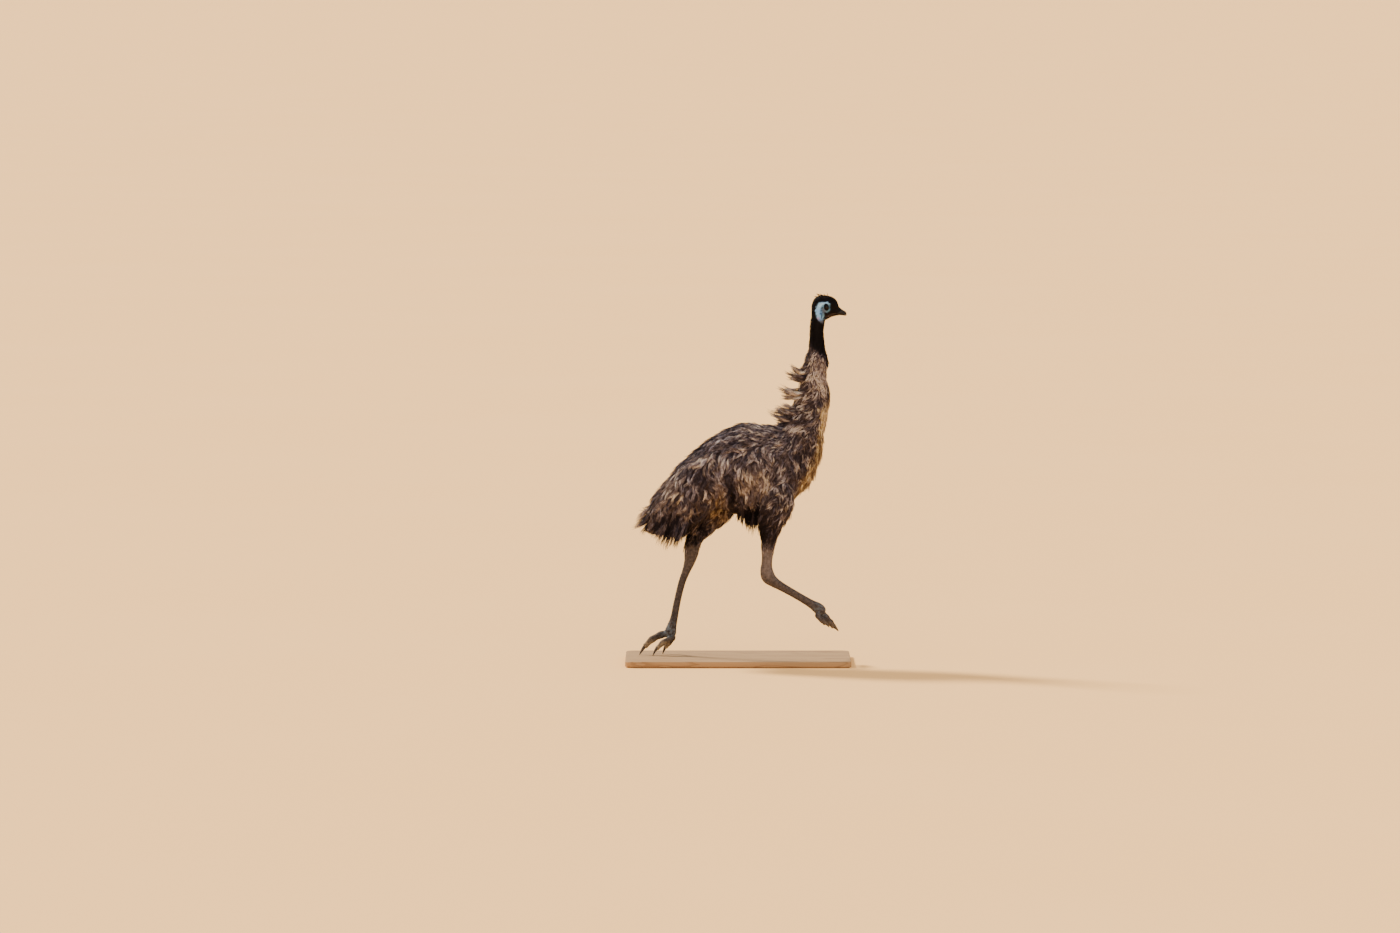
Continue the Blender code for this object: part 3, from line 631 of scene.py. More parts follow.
def limb_places(points, rows):
    """For each point: distance along the limb in metres, and its turn round it from the front."""
    line = through(rows, np.linspace(0, 1, 160))[:, :3]
    steps = np.linalg.norm(np.diff(line, axis=0), axis=1)
    run = np.concatenate([[0], np.cumsum(steps)])
    at = np.argmin(((points[:, None] - line[None]) ** 2).sum(2), axis=1)
    ahead = unit(np.gradient(line, axis=0))[at]
    fore = unit(np.cross([0, 1, 0], ahead))
    side = np.cross(ahead, fore)
    off = points - line[at]
    return run[at] + (off * ahead).sum(1), np.arctan2((off * side).sum(1), (off * fore).sum(1))


print("lumps of the right foot:", sum(name.endswith("right") for name in TOES))

# %% [markdown]
# ## Plates and scales
#
# The plates overlap like roof tiles, so their height is a sawtooth down the leg, a little uneven.
# The small scales are the product of two waves. Both are real height here. A bump in the shader
# would vanish at the edge of the leg.

# %% Plates and scales
LEG_PITCH, TOE_PITCH, SCALE_PITCH = 0.0125, 0.0085, 0.0078  # from one plate or scale to the next
TILE_HEIGHT, SCALE_HEIGHT = 0.0011, 0.0004
KNUCKLE = (0.028, 0.036)  # distances from the knuckle between which leg plates give way to toe plates
FOOT_RUN = 0.12  # length of the limb's end that counts as foot
PLATES_START = (0.10, 0.16)  # distances down the limb between which the plates come in


def plates(run, turn, toe=False):
    """Height of the plates: overlapping tiles down the front, small scales elsewhere."""
    pitch = TOE_PITCH if toe else LEG_PITCH
    facing = np.abs(turn / math.pi)
    front = ease(0.50, 0.70, facing) if toe else 1 - ease(0.24, 0.42, facing)
    uneven = run + 0.0022 * np.sin(run * 310) + 0.0016 * np.sin(run * 117 + 2 * turn)
    tile = (uneven / pitch) % 1.0
    tiles = tile ** 1.5 * (1 - ease(0.90, 1.0, tile))
    scale = np.cos(2 * math.pi * run / SCALE_PITCH + math.pi * np.round(turn * 2.5)) * np.cos(turn * 7.5)
    return TILE_HEIGHT * front * (tiles - 0.3) + SCALE_HEIGHT * (1 - front) * scale


def leg_mesh(side, rows):
    """A bare leg with its toes, scaled all over."""
    knuckle = np.asarray(rows[-2][:3])
    toes = [((*knuckle, points[0][3]), *points) for name, points in TOES.items() if name.endswith(side)]
    mesh = fused("leg", [loft(limb_rings(rows, 120, 40))] + [toe_lump(toe) for toe in toes])
    points, out = coordinates(mesh), normals(mesh)
    run, turn = limb_places(points, rows)
    height = plates(run, turn)
    beyond = ease(*KNUCKLE, np.linalg.norm(points - knuckle, axis=1)) * (run > run.max() - FOOT_RUN)
    nearest = np.full(len(points), 9.0)
    for toe in toes:
        rows_of_toe = [(*point, point[-1]) for point in toe]
        line = through(rows_of_toe, np.linspace(0, 1, 30))[:, :3]
        away = np.sqrt(((points[:, None] - line[None]) ** 2).sum(2)).min(1)
        mine = (beyond > 0) & (away < nearest)
        along, about = limb_places(points[mine], rows_of_toe)
        height[mine] += beyond[mine] * (plates(along, about, toe=True) - height[mine])
        nearest = np.minimum(nearest, away)
    move_to(mesh, points + out * (height * ease(*PLATES_START, run))[:, None])
    return thinned(mesh, LEG_TRIANGLES)


right_leg = leg_mesh("right", SHANK_RIGHT)
left_leg = leg_mesh("left", SHANK_LEFT)
print("legs:", len(right_leg.polygons), len(left_leg.polygons), "faces")

# %% [markdown]
# ## One skin
#
# Body, head and legs still pass through each other. A Boolean union cuts away what is inside and
# leaves one closed surface, which is what a skin is. The manifold solver is quick on closed meshes.
# The soles of the pushing foot are pressed level, just above the base.

# %% Union of the flesh
SOLE = 0.0304  # height of the soles, a hair above the base


def united(name, meshes):
    """Several closed meshes as one closed mesh."""
    whole = add_object(name, meshes[0])
    others = [add_object(f"{name} {k}", mesh) for k, mesh in enumerate(meshes[1:])]
    for other in others:
        union = whole.modifiers.new("union", "BOOLEAN")
        union.operation = "UNION"
        union.solver = "MANIFOLD"
        union.object = other
    made = with_modifiers(whole)
    for other in others:
        bpy.data.objects.remove(other)
    return made


skin_mesh = united("skin", [body_mesh, head_mesh, right_leg, left_leg])
level = coordinates(skin_mesh)
level[:, 2] = np.maximum(level[:, 2], SOLE)
move_to(skin_mesh, level)
skin_mesh.calc_loop_triangles()
print("skin:", len(skin_mesh.loop_triangles), "triangles")

# %% [markdown]
# ## Bill, eyes and claws
#
# These are horn and glass-clear tissue, so each is a piece of its own. The bill is two lofted
# sheaths with a rounded ridge, a groove on each side and a long nostril. The eye is a ball with
# the small extra bulge of the cornea, and a number for each point says how far it is from the
# pupil, which the eye's finish turns into rings. The claws are blunt, flattened cones.

# %% Bill
BILL = (  # place along X, ridge, line of the mouth, underside, half width
    (0.4740, 1.7185, 1.6815, 1.6690, 0.0232),
    (0.4840, 1.7100, 1.6805, 1.6702, 0.0210),
    (0.4940, 1.7018, 1.6790, 1.6708, 0.0182),
    (0.5040, 1.6948, 1.6780, 1.6700, 0.0148),
    (0.5125, 1.6897, 1.6765, 1.6690, 0.0110),
    (0.5180, 1.6852, 1.6745, 1.6697, 0.0070),
    (0.5207, 1.6790, 1.6725, 1.6711, 0.0034),
)
NOSTRIL = (0.5035, 0.0118, 1.6872)
MOUTH = 0.0005  # half the gap between the two sheaths
NOSTRIL_DEPTH, GROOVE_DEPTH, RIDGE = 0.0030, 0.0011, 0.0008


def bill_sheath(upper):
    """One half of the bill: the upper sheath with its ridge and nostrils, or the lower one."""
    x, ridge, lip, chin, half = through(BILL, np.linspace(0, 1, 90)).T[:, :, None]
    turn = np.linspace(0, 2 * math.pi, 72, endpoint=False)
    # the feathering reaches forward on each side of the ridge, and under the chin
    beside = np.abs(np.sin(2 * turn)) * (np.cos(turn) > 0) if upper else np.maximum(-np.cos(turn), 0)
    tuck = 0.84 + 0.16 * ease(0.474, 0.483, x - (0.015 if upper else 0.010) * beside)
    across = half * tuck * np.sign(np.sin(turn)) * np.abs(np.sin(turn)) ** (0.85 if upper else 0.8)
    if upper:
        height = lip + MOUTH + (ridge * tuck + lip * (1 - tuck) - lip) * np.maximum(np.cos(turn), 0) ** 0.82
    else:
        height = lip - MOUTH - (lip - chin) * tuck * np.maximum(-np.cos(turn), 0) ** 0.75
        across = across * 0.95
    rings = np.stack([np.broadcast_to(x, across.shape), across, height], -1)
    verts, faces = loft(rings)
    sides = folded(verts)
    if upper:
        off = sides - NOSTRIL
        along = off @ np.array([0.80, 0, -0.60])
        over = off @ np.array([0.60, 0, 0.80])
        hole = np.exp(-(along / 0.0042) ** 2 - (over / 0.0014) ** 2)
        groove = np.exp(-(over / 0.0030) ** 2) * (1 - ease(0.004, 0.012, along)) * ease(-0.020, -0.010, along)
        dent = (NOSTRIL_DEPTH * hole + GROOVE_DEPTH * groove) * ease(0.004, 0.008, sides[:, 1])
        verts[:, 1] -= np.sign(verts[:, 1]) * dent
        verts[:, 2] += RIDGE * np.exp(-(sides[:, 1] / 0.0022) ** 2) * (sides[:, 2] > 1.684)
    return mesh_from("bill", verts, faces)


bill_meshes = {"bill_top": bill_sheath(True), "bill_bottom": bill_sheath(False)}
print("bill:", {name: len(mesh.polygons) for name, mesh in bill_meshes.items()})

# %% [markdown]
# ## Eyes
#
# An eyeball is a ball with a second, smaller curve in front: the cornea, which catches the light.
# Each point stores its distance from the pupil, so the finish can draw pupil, iris and rim as rings.

# %% Eyes
GAZE = unit(np.array([0.22, 1.0, 0.04]))
CORNEA, CORNEA_EDGE = 0.0012, (0.25, 0.62)  # how far it bulges, and where that fades away


def eye_mesh(side):
    """One eyeball, looking out to its side, with a value for the distance from the pupil."""
    verts, faces = ball((0, 0, 0), 1.0, 64, 96)
    gaze = GAZE * [1, side, 1]
    turned = np.array(Vector((1, 0, 0)).rotation_difference(Vector(gaze)).to_matrix())
    from_pupil = np.arccos(np.clip(verts[:, 0], -1, 1)) / (math.pi / 2)
    bulge = CORNEA / EYE_RADIUS * (1 - ease(*CORNEA_EDGE, from_pupil))
    verts = verts * (0.992 + bulge)[:, None] * EYE_RADIUS
    mesh = mesh_from("eye", verts @ turned.T + [EYE_X, side * EYE_Y, EYE_Z], faces)
    write_values(mesh, "from_pupil", from_pupil)
    return mesh


eye_meshes = {"eyeball_right": eye_mesh(-1), "eyeball_left": eye_mesh(1)}
print("eyes:", sorted(eye_meshes))

# %% [markdown]
# ## Claws
#
# A claw is a tapered horn that starts inside its toe, so no gap shows. Running wears its tip blunt,
# and its underside is flat where it rests.

# %% Claws
BLUNT = 0.0016  # radius of a worn tip
SUNK, BOW = 0.007, 0.0035  # how far a claw starts inside its toe, and how far it bows upwards


def claw_mesh(name):
    """A blunt claw that bows upwards, its underside flat where it rests."""
    root, tip = np.array(TOES[name][-1][:3]), np.array(CLAW_TIPS[name])
    radius = TOES[name][-1][3]
    ahead = unit(tip - root)
    start = root - ahead * SUNK
    shares = np.linspace(0, 1, 26)
    bow = np.array([0, 0, BOW])
    centre = start + shares[:, None] * (tip - start) + bow * np.sin(math.pi * shares)[:, None]
    size = (BLUNT + (radius * 0.84 - BLUNT) * (1 - shares ** 1.7))[:, None]
    rows = np.hstack([centre, size * 0.90, size * 0.94])
    rings = limb_rings(rows, 40, 28)
    verts, faces = loft(rings)
    verts[:, 2] = np.maximum(verts[:, 2], SOLE)
    return mesh_from("claw", verts, faces)


claw_meshes = {f"nail_{name}": claw_mesh(name) for name in TOES}
print("claws:", sorted(claw_meshes))

# %% [markdown]
# ## The base
#
# A running bird has one foot down and would fall over, so it is shown on a flat wooden panel. The
# panel is drawn as an outline with round corners, then stacked in rings: a thin foot set back, the
# rounded edge, and the top. Rings give a cleaner edge here than a bevelled box.

# %% Base panel
BASE_LOW, BASE_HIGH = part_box("stand_base")
CORNER, EDGE = 0.040, 0.0045
LOW_EDGE = 0.6 * EDGE  # the lower edge is rounded a little less
PLINTH_INSET, PLINTH_HEIGHT, PLINTH_GAP = 0.006, 0.0040, 0.0005  # the set-back foot


def outline(length, width, corner, z):
    """Points round a rectangle with round corners, at one height."""
    turn = np.linspace(0, 2 * math.pi, 96, endpoint=False)
    dx = np.sign(np.cos(turn)) * (length / 2 - corner)
    dy = np.sign(np.sin(turn)) * (width / 2 - corner)
    return np.stack([dx + corner * np.cos(turn), dy + corner * np.sin(turn), np.full(96, z)], -1)


def base_mesh():
    """The display panel: a set-back foot, a rounded edge and a flat top."""
    length, width = BASE_HIGH.x - BASE_LOW.x, BASE_HIGH.y - BASE_LOW.y
    top = BASE_HIGH.z
    low = PLINTH_HEIGHT + PLINTH_GAP
    drawn = [(PLINTH_INSET, 0.0), (PLINTH_INSET, PLINTH_HEIGHT)]
    for turn in np.linspace(0, math.pi / 2, 9):
        drawn.append((LOW_EDGE * (1 - math.sin(turn)), low + LOW_EDGE * (1 - math.cos(turn))))
    for turn in np.linspace(0, math.pi / 2, 13):
        drawn.append((EDGE * (1 - math.cos(turn)), top - EDGE + EDGE * math.sin(turn)))
    rings = [outline(length - 2 * pull, width - 2 * pull, CORNER - pull, z) for pull, z in drawn]
    return mesh_from("base", *loft(rings))


panel_mesh = base_mesh()
print("base:", [round(1000 * side) for side in BASE_HIGH - BASE_LOW], "mm")

# %% [markdown]
# ## How the coat lies
#
# An emu's plumes are double and have no hooks, so they hang like coarse hair in shaggy locks. Which
# way they point, how long they are and how far they stand off changes slowly over the bird. Painting
# a comb map by hand is one way. Here a short table says how the coat lies at places that a keeper
# would name, and every other place blends the nearest of them.

# %% Lie of the head and neck
# each row: side (0 both), X, across, Z, way X, way across, way Z, length mm, lift mm, loose, curl
HEAD_AND_NECK = (
    # head: bristles, shortest on the face
    (0, 0.475, 0, 1.728, -1, 0, 0.50, 5, 1, 0, 0),
    (0, 0.452, 0, 1.752, -1, 0, 0.35, 8, 2.5, 0, 0.2),
    (0, 0.415, 0, 1.766, -1, 0, 0.25, 12, 5, 0, 0.5),
    (0, 0.368, 0, 1.750, -1, 0, -0.30, 13, 3.5, 0.1, 0.3),
    (0, 0.354, 0, 1.705, -0.6, 0, -1, 13, 3, 0, 0.1),
    (0, 0.422, 0.034, 1.740, -1, 0, 0.20, 6, 1.4, 0, 0),
    (0, 0.463, 0.026, 1.700, -1, 0, -0.10, 4, 0.8, 0, 0),
    (0, 0.430, 0.034, 1.672, -1, 0, -0.35, 5, 0.8, 0, 0),
    (0, 0.440, 0.015, 1.655, -1, 0, -0.40, 7, 1.5, 0, 0),
    (0, 0.386, 0.036, 1.690, -0.5, 0, -1, 7, 0.8, 0, 0),
    # upper neck: short and hair-like
    (0, 0.410, 0, 1.630, -0.15, 0, -1, 13, 2, 0, 0),
    (0, 0.378, 0.030, 1.620, -0.20, 0, -1, 13, 2, 0, 0),
    (0, 0.345, 0, 1.630, -0.60, 0, -1, 17, 6, 0.3, 0.3),
    (0, 0.340, 0, 1.540, -0.50, 0, -1, 21, 5, 0.2, 0.2),
    (0, 0.373, 0.031, 1.540, -0.15, 0, -1, 20, 3, 0, 0),
    (0, 0.411, 0, 1.540, -0.02, 0, -1, 20, 3, 0, 0),
    (0, 0.320, 0, 1.460, -0.60, 0, -1, 30, 10, 0.2, 0.3),
    (0, 0.373, 0.040, 1.450, -0.20, 0, -1, 32, 6, 0, 0),
    (0, 0.428, 0, 1.450, 0, 0, -1, 32, 8, 0.1, 0),
    # lower neck: the ruff, blown back off the nape
    (0, 0.288, 0.020, 1.398, -1, 0.2, -0.10, 58, 26, 0.8, 0.8),
    (0, 0.278, 0.025, 1.338, -0.5, 0.1, -1, 44, 14, 0.1, 0),
    (0, 0.350, 0.060, 1.370, -0.40, 0, -1, 42, 14, 0.1, 0),
    (0, 0.385, 0.065, 1.330, 0.05, 0, -1, 40, 14, 0, 0),
    (0, 0.433, 0, 1.340, 0, 0, -1, 38, 9, 0, 0),
    (0, 0.258, 0.025, 1.300, -1, 0.2, -0.05, 66, 26, 0.8, 0.8),
    (0, 0.244, 0.035, 1.262, -0.5, 0.1, -1, 46, 14, 0.1, 0),
    (0, 0.310, 0.080, 1.255, -1.60, 0, -1, 52, 20, 0.3, 0.2),
    (0, 0.380, 0.080, 1.240, -0.25, 0, -1, 46, 15, 0, 0),
    (0, 0.434, 0, 1.230, 0, 0, -1, 40, 10, 0, 0),
    (0, 0.200, 0.030, 1.192, -1, 0.2, 0.10, 72, 24, 0.7, 0.5),
    (0, 0.310, 0.100, 1.170, -1.30, 0, -1, 52, 20, 0.1, 0),
    (0, 0.420, 0, 1.120, -0.02, 0, -1, 44, 13, 0, 0),
)
print("rows for head and neck:", len(HEAD_AND_NECK))

# %% [markdown]
# ## The lie of back and front
#
# The plumes part along the spine, and the wind of running lays them back over the rump. On the
# breast they hang, and under the belly they lie flat and point to the rear.

# %% Lie of the back, breast and belly
BACK_AND_FRONT = (
    # back and rump, parted along the middle
    (0, 0.100, 0.030, 1.150, -1, 0.35, -0.05, 62, 15, 0, 0),
    (0, 0.030, 0.030, 1.158, -1, 0.35, -0.15, 68, 14, 0, 0),
    (0, -0.100, 0.030, 1.103, -1, 0.30, -0.55, 78, 13, 0, 0),
    (0, -0.215, 0.030, 1.030, -1, 0.25, -0.80, 88, 13, 0, 0),
    (0, -0.310, 0.030, 0.930, -1, 0.20, -1, 100, 18, 0.1, -0.1),
    (0, -0.400, 0.030, 0.810, -0.90, 0.15, -1, 104, 22, 0.6, -0.1),
    (0, -0.445, 0, 0.720, -0.90, 0.10, -0.60, 84, 20, 1, 0.3),
    (0, -0.350, 0.120, 0.740, -0.45, 0.05, -1, 96, 22, 0.5, 0),
    (0, -0.340, 0.060, 0.620, -0.60, 0, -1, 60, 20, 1, 0.5),
    # breast and belly
    (0, 0.405, 0, 1.020, -0.10, 0, -1, 42, 18, 0, 0),
    (0, 0.340, 0.110, 1, -0.30, 0, -1, 46, 16, 0, 0),
    (0, 0.345, 0, 0.850, -0.60, 0, -1, 46, 20, 0, 0),
    (0, 0.200, 0, 0.735, -1, 0, -0.40, 48, 14, 0, 0),
    (0, 0.030, 0, 0.690, -1, 0, -0.20, 48, 14, 0, 0),
    (0, -0.120, 0, 0.700, -1, 0, -0.60, 60, 14, 0, 0),
)
print("rows for back, breast and belly:", len(BACK_AND_FRONT))

# %% [markdown]
# ## The lie of the sides
#
# The flanks hang like a skirt, and swing with the stride. One way for the whole side would look
# combed by a machine, so the rows of ribs, flank and thigh lean differently, and the blend between
# them makes the partings that a real coat has.

# %% Lie of shoulders, flanks and thighs
SIDES = (
    # shoulder: short plumes, near level under the line of the back
    (0, 0.280, 0.130, 1.090, -0.30, 0, -1, 48, 17, 0, 0),
    (0, 0.200, 0.150, 1.095, -1, 0.1, -0.20, 50, 18, 0, 0),
    (0, 0.080, 0.150, 1.100, -1, 0.1, 0.10, 56, 18, 0, 0),
    (0, -0.040, 0.160, 1.060, -1, 0.1, -0.50, 72, 18, 0, 0),
    (0, 0.250, 0.160, 0.960, -0.22, 0, -1, 58, 18, 0, 0),
    (0, 0.120, 0.190, 1.020, 0.10, 0, -1, 58, 19, 0, 0),
    # flanks: the plumes hang, and over the ribs they swing forward with the stride
    (0, 0.080, 0.210, 0.900, 0.14, 0, -1, 74, 19, 0, 0),
    (0, -0.010, 0.215, 0.880, 0.26, 0, -1, 78, 20, 0, 0),
    (0, 0.040, 0.200, 0.790, -0.15, 0, -1, 78, 20, 0.25, -0.2),
    (0, 0.050, 0.130, 0.715, -0.15, 0, -1, 62, 20, 0.7, 0.3),
    (0, -0.110, 0.200, 0.980, -0.25, 0, -1, 84, 22, 0, 0),
    (0, -0.120, 0.205, 0.880, 0.42, 0, -1, 86, 19, 0, 0),
    (0, -0.130, 0.190, 0.790, 0.02, 0, -1, 88, 20, 0.1, 0),
    (0, -0.210, 0.180, 0.960, -0.55, 0, -1, 86, 20, 0, 0),
    (0, -0.240, 0.175, 0.830, 0.05, 0, -1, 90, 20, 0.1, 0),
    (0, -0.260, 0.170, 0.720, -0.35, 0, -1, 92, 22, 0.5, 0),
    # thighs: down to the bare shanks
    (-1, 0.190, 0.190, 0.800, -0.48, 0, -1, 52, 15, 0, 0),
    (-1, 0.170, 0.180, 0.700, -0.50, 0, -1, 44, 12, 0, 0),
    (-1, 0.151, 0.150, 0.635, -0.35, 0, -1, 32, 6, 0.2, 0),
    (-1, 0.146, 0.130, 0.580, 0, 0, -1, 24, 3, 0.3, 0),
    (1, -0.070, 0.190, 0.800, -0.50, 0, -1, 62, 12, 0, 0),
    (1, -0.150, 0.160, 0.680, -0.50, 0, -1, 46, 9, 0, 0),
    (1, -0.200, 0.110, 0.600, -0.30, 0, -1, 24, 4, 0, 0),
)
LIE = HEAD_AND_NECK + BACK_AND_FRONT + SIDES


def lie_at(points):
    """Way, length, lift, looseness and curl of the coat at points, blended from the table."""
    table = np.array(LIE, float)
    side = np.sign(points[:, 1:2] + 1e-9)
    gap = np.linalg.norm(folded(points)[:, None] - table[None, :, 1:4], axis=2)
    weight = 1 / (gap ** 4 + 1e-8)
    weight[(table[:, 0] != 0)[None] & (table[:, 0][None] != side)] = 0
    blend = (weight @ table[:, 4:]) / weight.sum(1, keepdims=True)
    way = blend[:, :3] * np.hstack([np.ones_like(side), side, np.ones_like(side)])
    return unit(way), blend[:, 3] / 1000, blend[:, 4] / 1000, blend[:, 5], blend[:, 6]


print("places that say how the coat lies:", len(LIE))

# %% [markdown]
# ## Markings
#
# Skin and plumes carry the same markings, so one function paints both. It lays broad washes over a
# middling brown, in the order a painter would: how pale a place is, how warm its brown, and how
# mottled. Some of it is painted light and shade: a golden glow of bounce light on breast and throat,
# a highlight on the rump, shade in the valley behind the ribs and a glow of light by the far thigh.
# Bare blue skin shows behind the eye and down the cheek, where the bristles are sparse.

# %% Washes
WASHES = (  # what, X, across, Z, reach X, reach across, reach Z, paleness, warmth, mottling
    ("flank", 0.05, 0.20, 0.98, 0.45, 0.40, 0.36, 0.46, 0.08, 0.26),
    ("shoulder", 0.14, 0.16, 1.05, 0.16, 0.20, 0.11, 0.58, 0.06, 0.28),
    ("streaked flank", 0.085, 0.22, 0.870, 0.12, 0.20, 0.095, 0.64, 0.34, 0.36),
    ("low flank", 0.07, 0.20, 0.715, 0.17, 0.20, 0.065, 0.14, 0.20, 0.18),
    ("rump side", -0.18, 0.17, 0.86, 0.17, 0.20, 0.13, 0.40, 0.08, 0.28),
    ("line of the back", -0.09, 0.00, 1.14, 0.16, 0.150, 0.080, 0.20, 0.05, 0.14),
    ("line of the rump", -0.25, 0.00, 1.03, 0.22, 0.150, 0.130, 0.20, 0.05, 0.14),
    # painted highlight: the pale arc is a highlight along a ridge of the rump
    ("pale arc of the rump", -0.17, 0.175, 0.970, 0.15, 0.10, 0.038, 0.78, 0.26, 0.24),
    ("lock behind the ribs", -0.085, 0.21, 0.815, 0.030, 0.20, 0.060, 0.72, 0.42, 0.30),
    ("pale side of the tail", -0.33, 0.14, 0.82, 0.06, 0.20, 0.070, 0.66, 0.20, 0.34),
    ("tail rim", -0.30, 0.00, 0.61, 0.28, 0.40, 0.13, 0.08, 0.06, 0.20),
    ("belly", 0.05, 0.00, 0.68, 0.32, 0.30, 0.090, 0.02, 0.20, 0.08),
    ("shadow behind the breast", 0.31, 0.12, 0.99, 0.035, 0.14, 0.08, 0.26, 0.14, 0.20),
    # painted shade: the valley behind the ribs is darkened as shade
    ("valley behind the ribs", -0.030, 0.20, 0.79, 0.048, 0.20, 0.11, 0.06, 0.05, 0.10),
    ("foot of the neck", 0.26, 0.06, 1.125, 0.07, 0.10, 0.022, 0.92, 0.30, 0.26),
    ("ruff", 0.30, 0.06, 1.30, 0.13, 0.14, 0.16, 0.56, 0.22, 0.40),
    ("mottled neck", 0.385, 0.04, 1.37, 0.07, 0.08, 0.15, 1.00, 0.20, 0.46),
    ("dark edge of the throat", 0.437, 0.00, 1.44, 0.024, 0.05, 0.09, 0.06, 0.00, 0.06),
    ("dark spot of the throat", 0.442, 0.00, 1.295, 0.020, 0.05, 0.034, 0.03, 0.05, 0.06),
    ("shaded edge of the throat", 0.446, 0.00, 1.205, 0.026, 0.08, 0.075, 0.46, 0.75, 0.20),
    ("near thigh", 0.18, 0.14, 0.73, 0.10, 0.20, 0.13, 0.36, 0.20, 0.28),
    ("end of the trousers", 0.130, 0.13, 0.62, 0.09, 0.12, 0.08, 0.05, 0.08, 0.08),
    # painted light: the far thigh and the golden lock by it are warm and pale as a painted glow of light
    # through and under their plumes
    ("far thigh", -0.085, 0.08, 0.69, 0.070, 0.10, 0.07, 0.60, 0.65, 0.24),
    ("golden lock by the far thigh", -0.125, 0.12, 0.70, 0.024, 0.10, 0.04, 0.80, 0.95, 0.20),
)
FACE_WASHES = (
    ("crown", 0.405, 0.00, 1.765, 0.050, 0.05, 0.024, 0.10, 0.45, 0.06),
    ("jaw", 0.438, 0.00, 1.667, 0.036, 0.05, 0.013, 0.42, 0.60, 0.16),
)
# painted bounce light: the warm glow on breast and throat, its paleness, warmth and mottling, and how far
# forward it starts at each height
BREAST, THROAT = (0.55, 0.92, 0.22), (0.88, 0.96, 0.16)
BREAST_HEIGHTS = (0.78, 0.81, 0.87, 0.94, 1.015, 1.13, 1.20, 1.26)
BREAST_STARTS = (0.262, 0.271, 0.288, 0.318, 0.366, 0.386, 0.383, 0.410)
BLACK = (0.02, 0.0, 0.02)
print("washes of colour:", len(WASHES) + len(FACE_WASHES))

# %% [markdown]
# ## From washes to numbers
#
# A wash is a soft patch that fades out at its reach. The golden front, which is painted warm light
# bounced up on to breast and throat, the black neck and the bare cheek end at edges instead, so each
# has a sum of its own, and ripples make its edge wander as the plumes' tips do. Down its middle the
# painted glow of the front is greyer and mottled.

# %% Markings
CRESCENT, CRESCENT_RADIUS, CRESCENT_WIDTHS = (0.4300, 1.6900), 0.0435, (0.0070, 0.0200)


def washed(made, place, washes):
    """Paints soft patches of colour over what is there."""
    for row in washes:
        share = near(place / row[4:7], np.array(row[1:4]) / row[4:7], 1.0) ** 0.6
        made = made + share[:, None] * (np.array(row[7:]) - made)
    return made


def markings(points):
    """How pale, how warm and how mottled the bird is at points, painted light and shade included."""
    place = folded(points)
    x, y, z = place.T
    made = washed(np.tile([0.40, 0.20, 0.20], (len(points), 1)), place, WASHES)
    # the golden front is painted warm light bounced up on to breast and throat: a ragged edge
    # where the plumes of the flank end, greyer down its middle
    edge = np.interp(z, BREAST_HEIGHTS, BREAST_STARTS) + 0.010 * ripple(points, 0.030, 4)
    golden_glow = ease(-0.004, 0.010, x - edge) * (1 - ease(1.20, 1.27, z)) * (1 - ease(0.085, 0.120, y))
    golden_glow *= 1 - (0.58 + 0.30 * ripple(points, 0.026, 6)) * (1 - ease(0.012, 0.054, y))
    lit = ease(1.06, 1.15, z)[:, None]
    made += golden_glow[:, None] * ((1 - lit) * np.array(BREAST) + lit * np.array(THROAT) - made)
    # the upper neck and head are black
    black = ease(1.465, 1.525, points[:, 2] + 0.9 * (x - 0.375) + 0.012 * ripple(points, 0.030, 5))
    made += black[:, None] * (np.array(BLACK) - made)
    return washed(made, place, FACE_WASHES).T


def bareness(points):
    """1 where the pale skin of the face shows: a crescent behind the eye, and the rim of the lids."""
    x, y, z = folded(points).T
    rough = 0.0035 * ripple(points, 0.012, 8)
    side_on = points * [1, 0, 1]
    from_eye = np.hypot(x - CRESCENT[0], (z - CRESCENT[1]) * 0.90)
    crescent = 1 - ease(*CRESCENT_WIDTHS, np.abs(from_eye - CRESCENT_RADIUS) + rough)
    cheek = np.maximum(along_line(side_on, (0.3860, 0, 1.6660), (0.3910, 0, 1.6500), 0.0180),
                       along_line(side_on, (0.4055, 0, 1.6880), (0.4065, 0, 1.6690), 0.0170))
    crescent = np.maximum(crescent, ease(0.30, 0.70, cheek + 25 * rough))
    crescent *= (1 - ease(0.410, 0.424, x + rough)) * ease(1.618, 1.640, z) * (1 - ease(1.730, 1.739, z))
    rim = 1 - ease(0.84, 1.06, np.hypot((x - EYE_X) / 0.0220, (z - EYE_Z - 0.001) / 0.0268) + 20 * rough)
    rim *= 1 - 0.9 * along_line(side_on, (0.442, 0, 1.7090), (0.458, 0, 1.7040), 0.0075)
    return np.maximum(crescent, rim) * ease(0.012, 0.020, y)


print("bareness behind the eye:", bareness(np.array([[0.392, -0.030, 1.665]])).round(2))

# %% [markdown]
# ## Growing the plumes
#
# Each tuft is a lock of fine blades. Its roots are scattered so that no two locks stand closer than
# their spacing. From its root a lock steps over the skin, rising as it goes, and where the coat is
# loose it flies free and curls. The blades are closed, three-sided and tapered, and they gather
# towards the lock's tip. Hair curves would be quicker to make, but they aren't real surfaces.

# %% Skin tree and candidates
COAT_LOW, COAT_FRONT = 0.545, 0.488  # no lock grows lower than this, or further forward
SKIN_TREE = BVHTree.FromPolygons(coordinates(skin_mesh).tolist(),
                                 [tuple(face.vertices) for face in skin_mesh.polygons])


def on_skin(points):
    """The nearest places on the skin, and the directions out of it there."""
    found = [SKIN_TREE.find_nearest(point) for point in points.tolist()]
    return np.array([hit[0] for hit in found]), np.array([hit[1] for hit in found])


def spacing_at(length):
    """How far apart locks of that length stand."""
    return 0.0018 + 0.148 * length


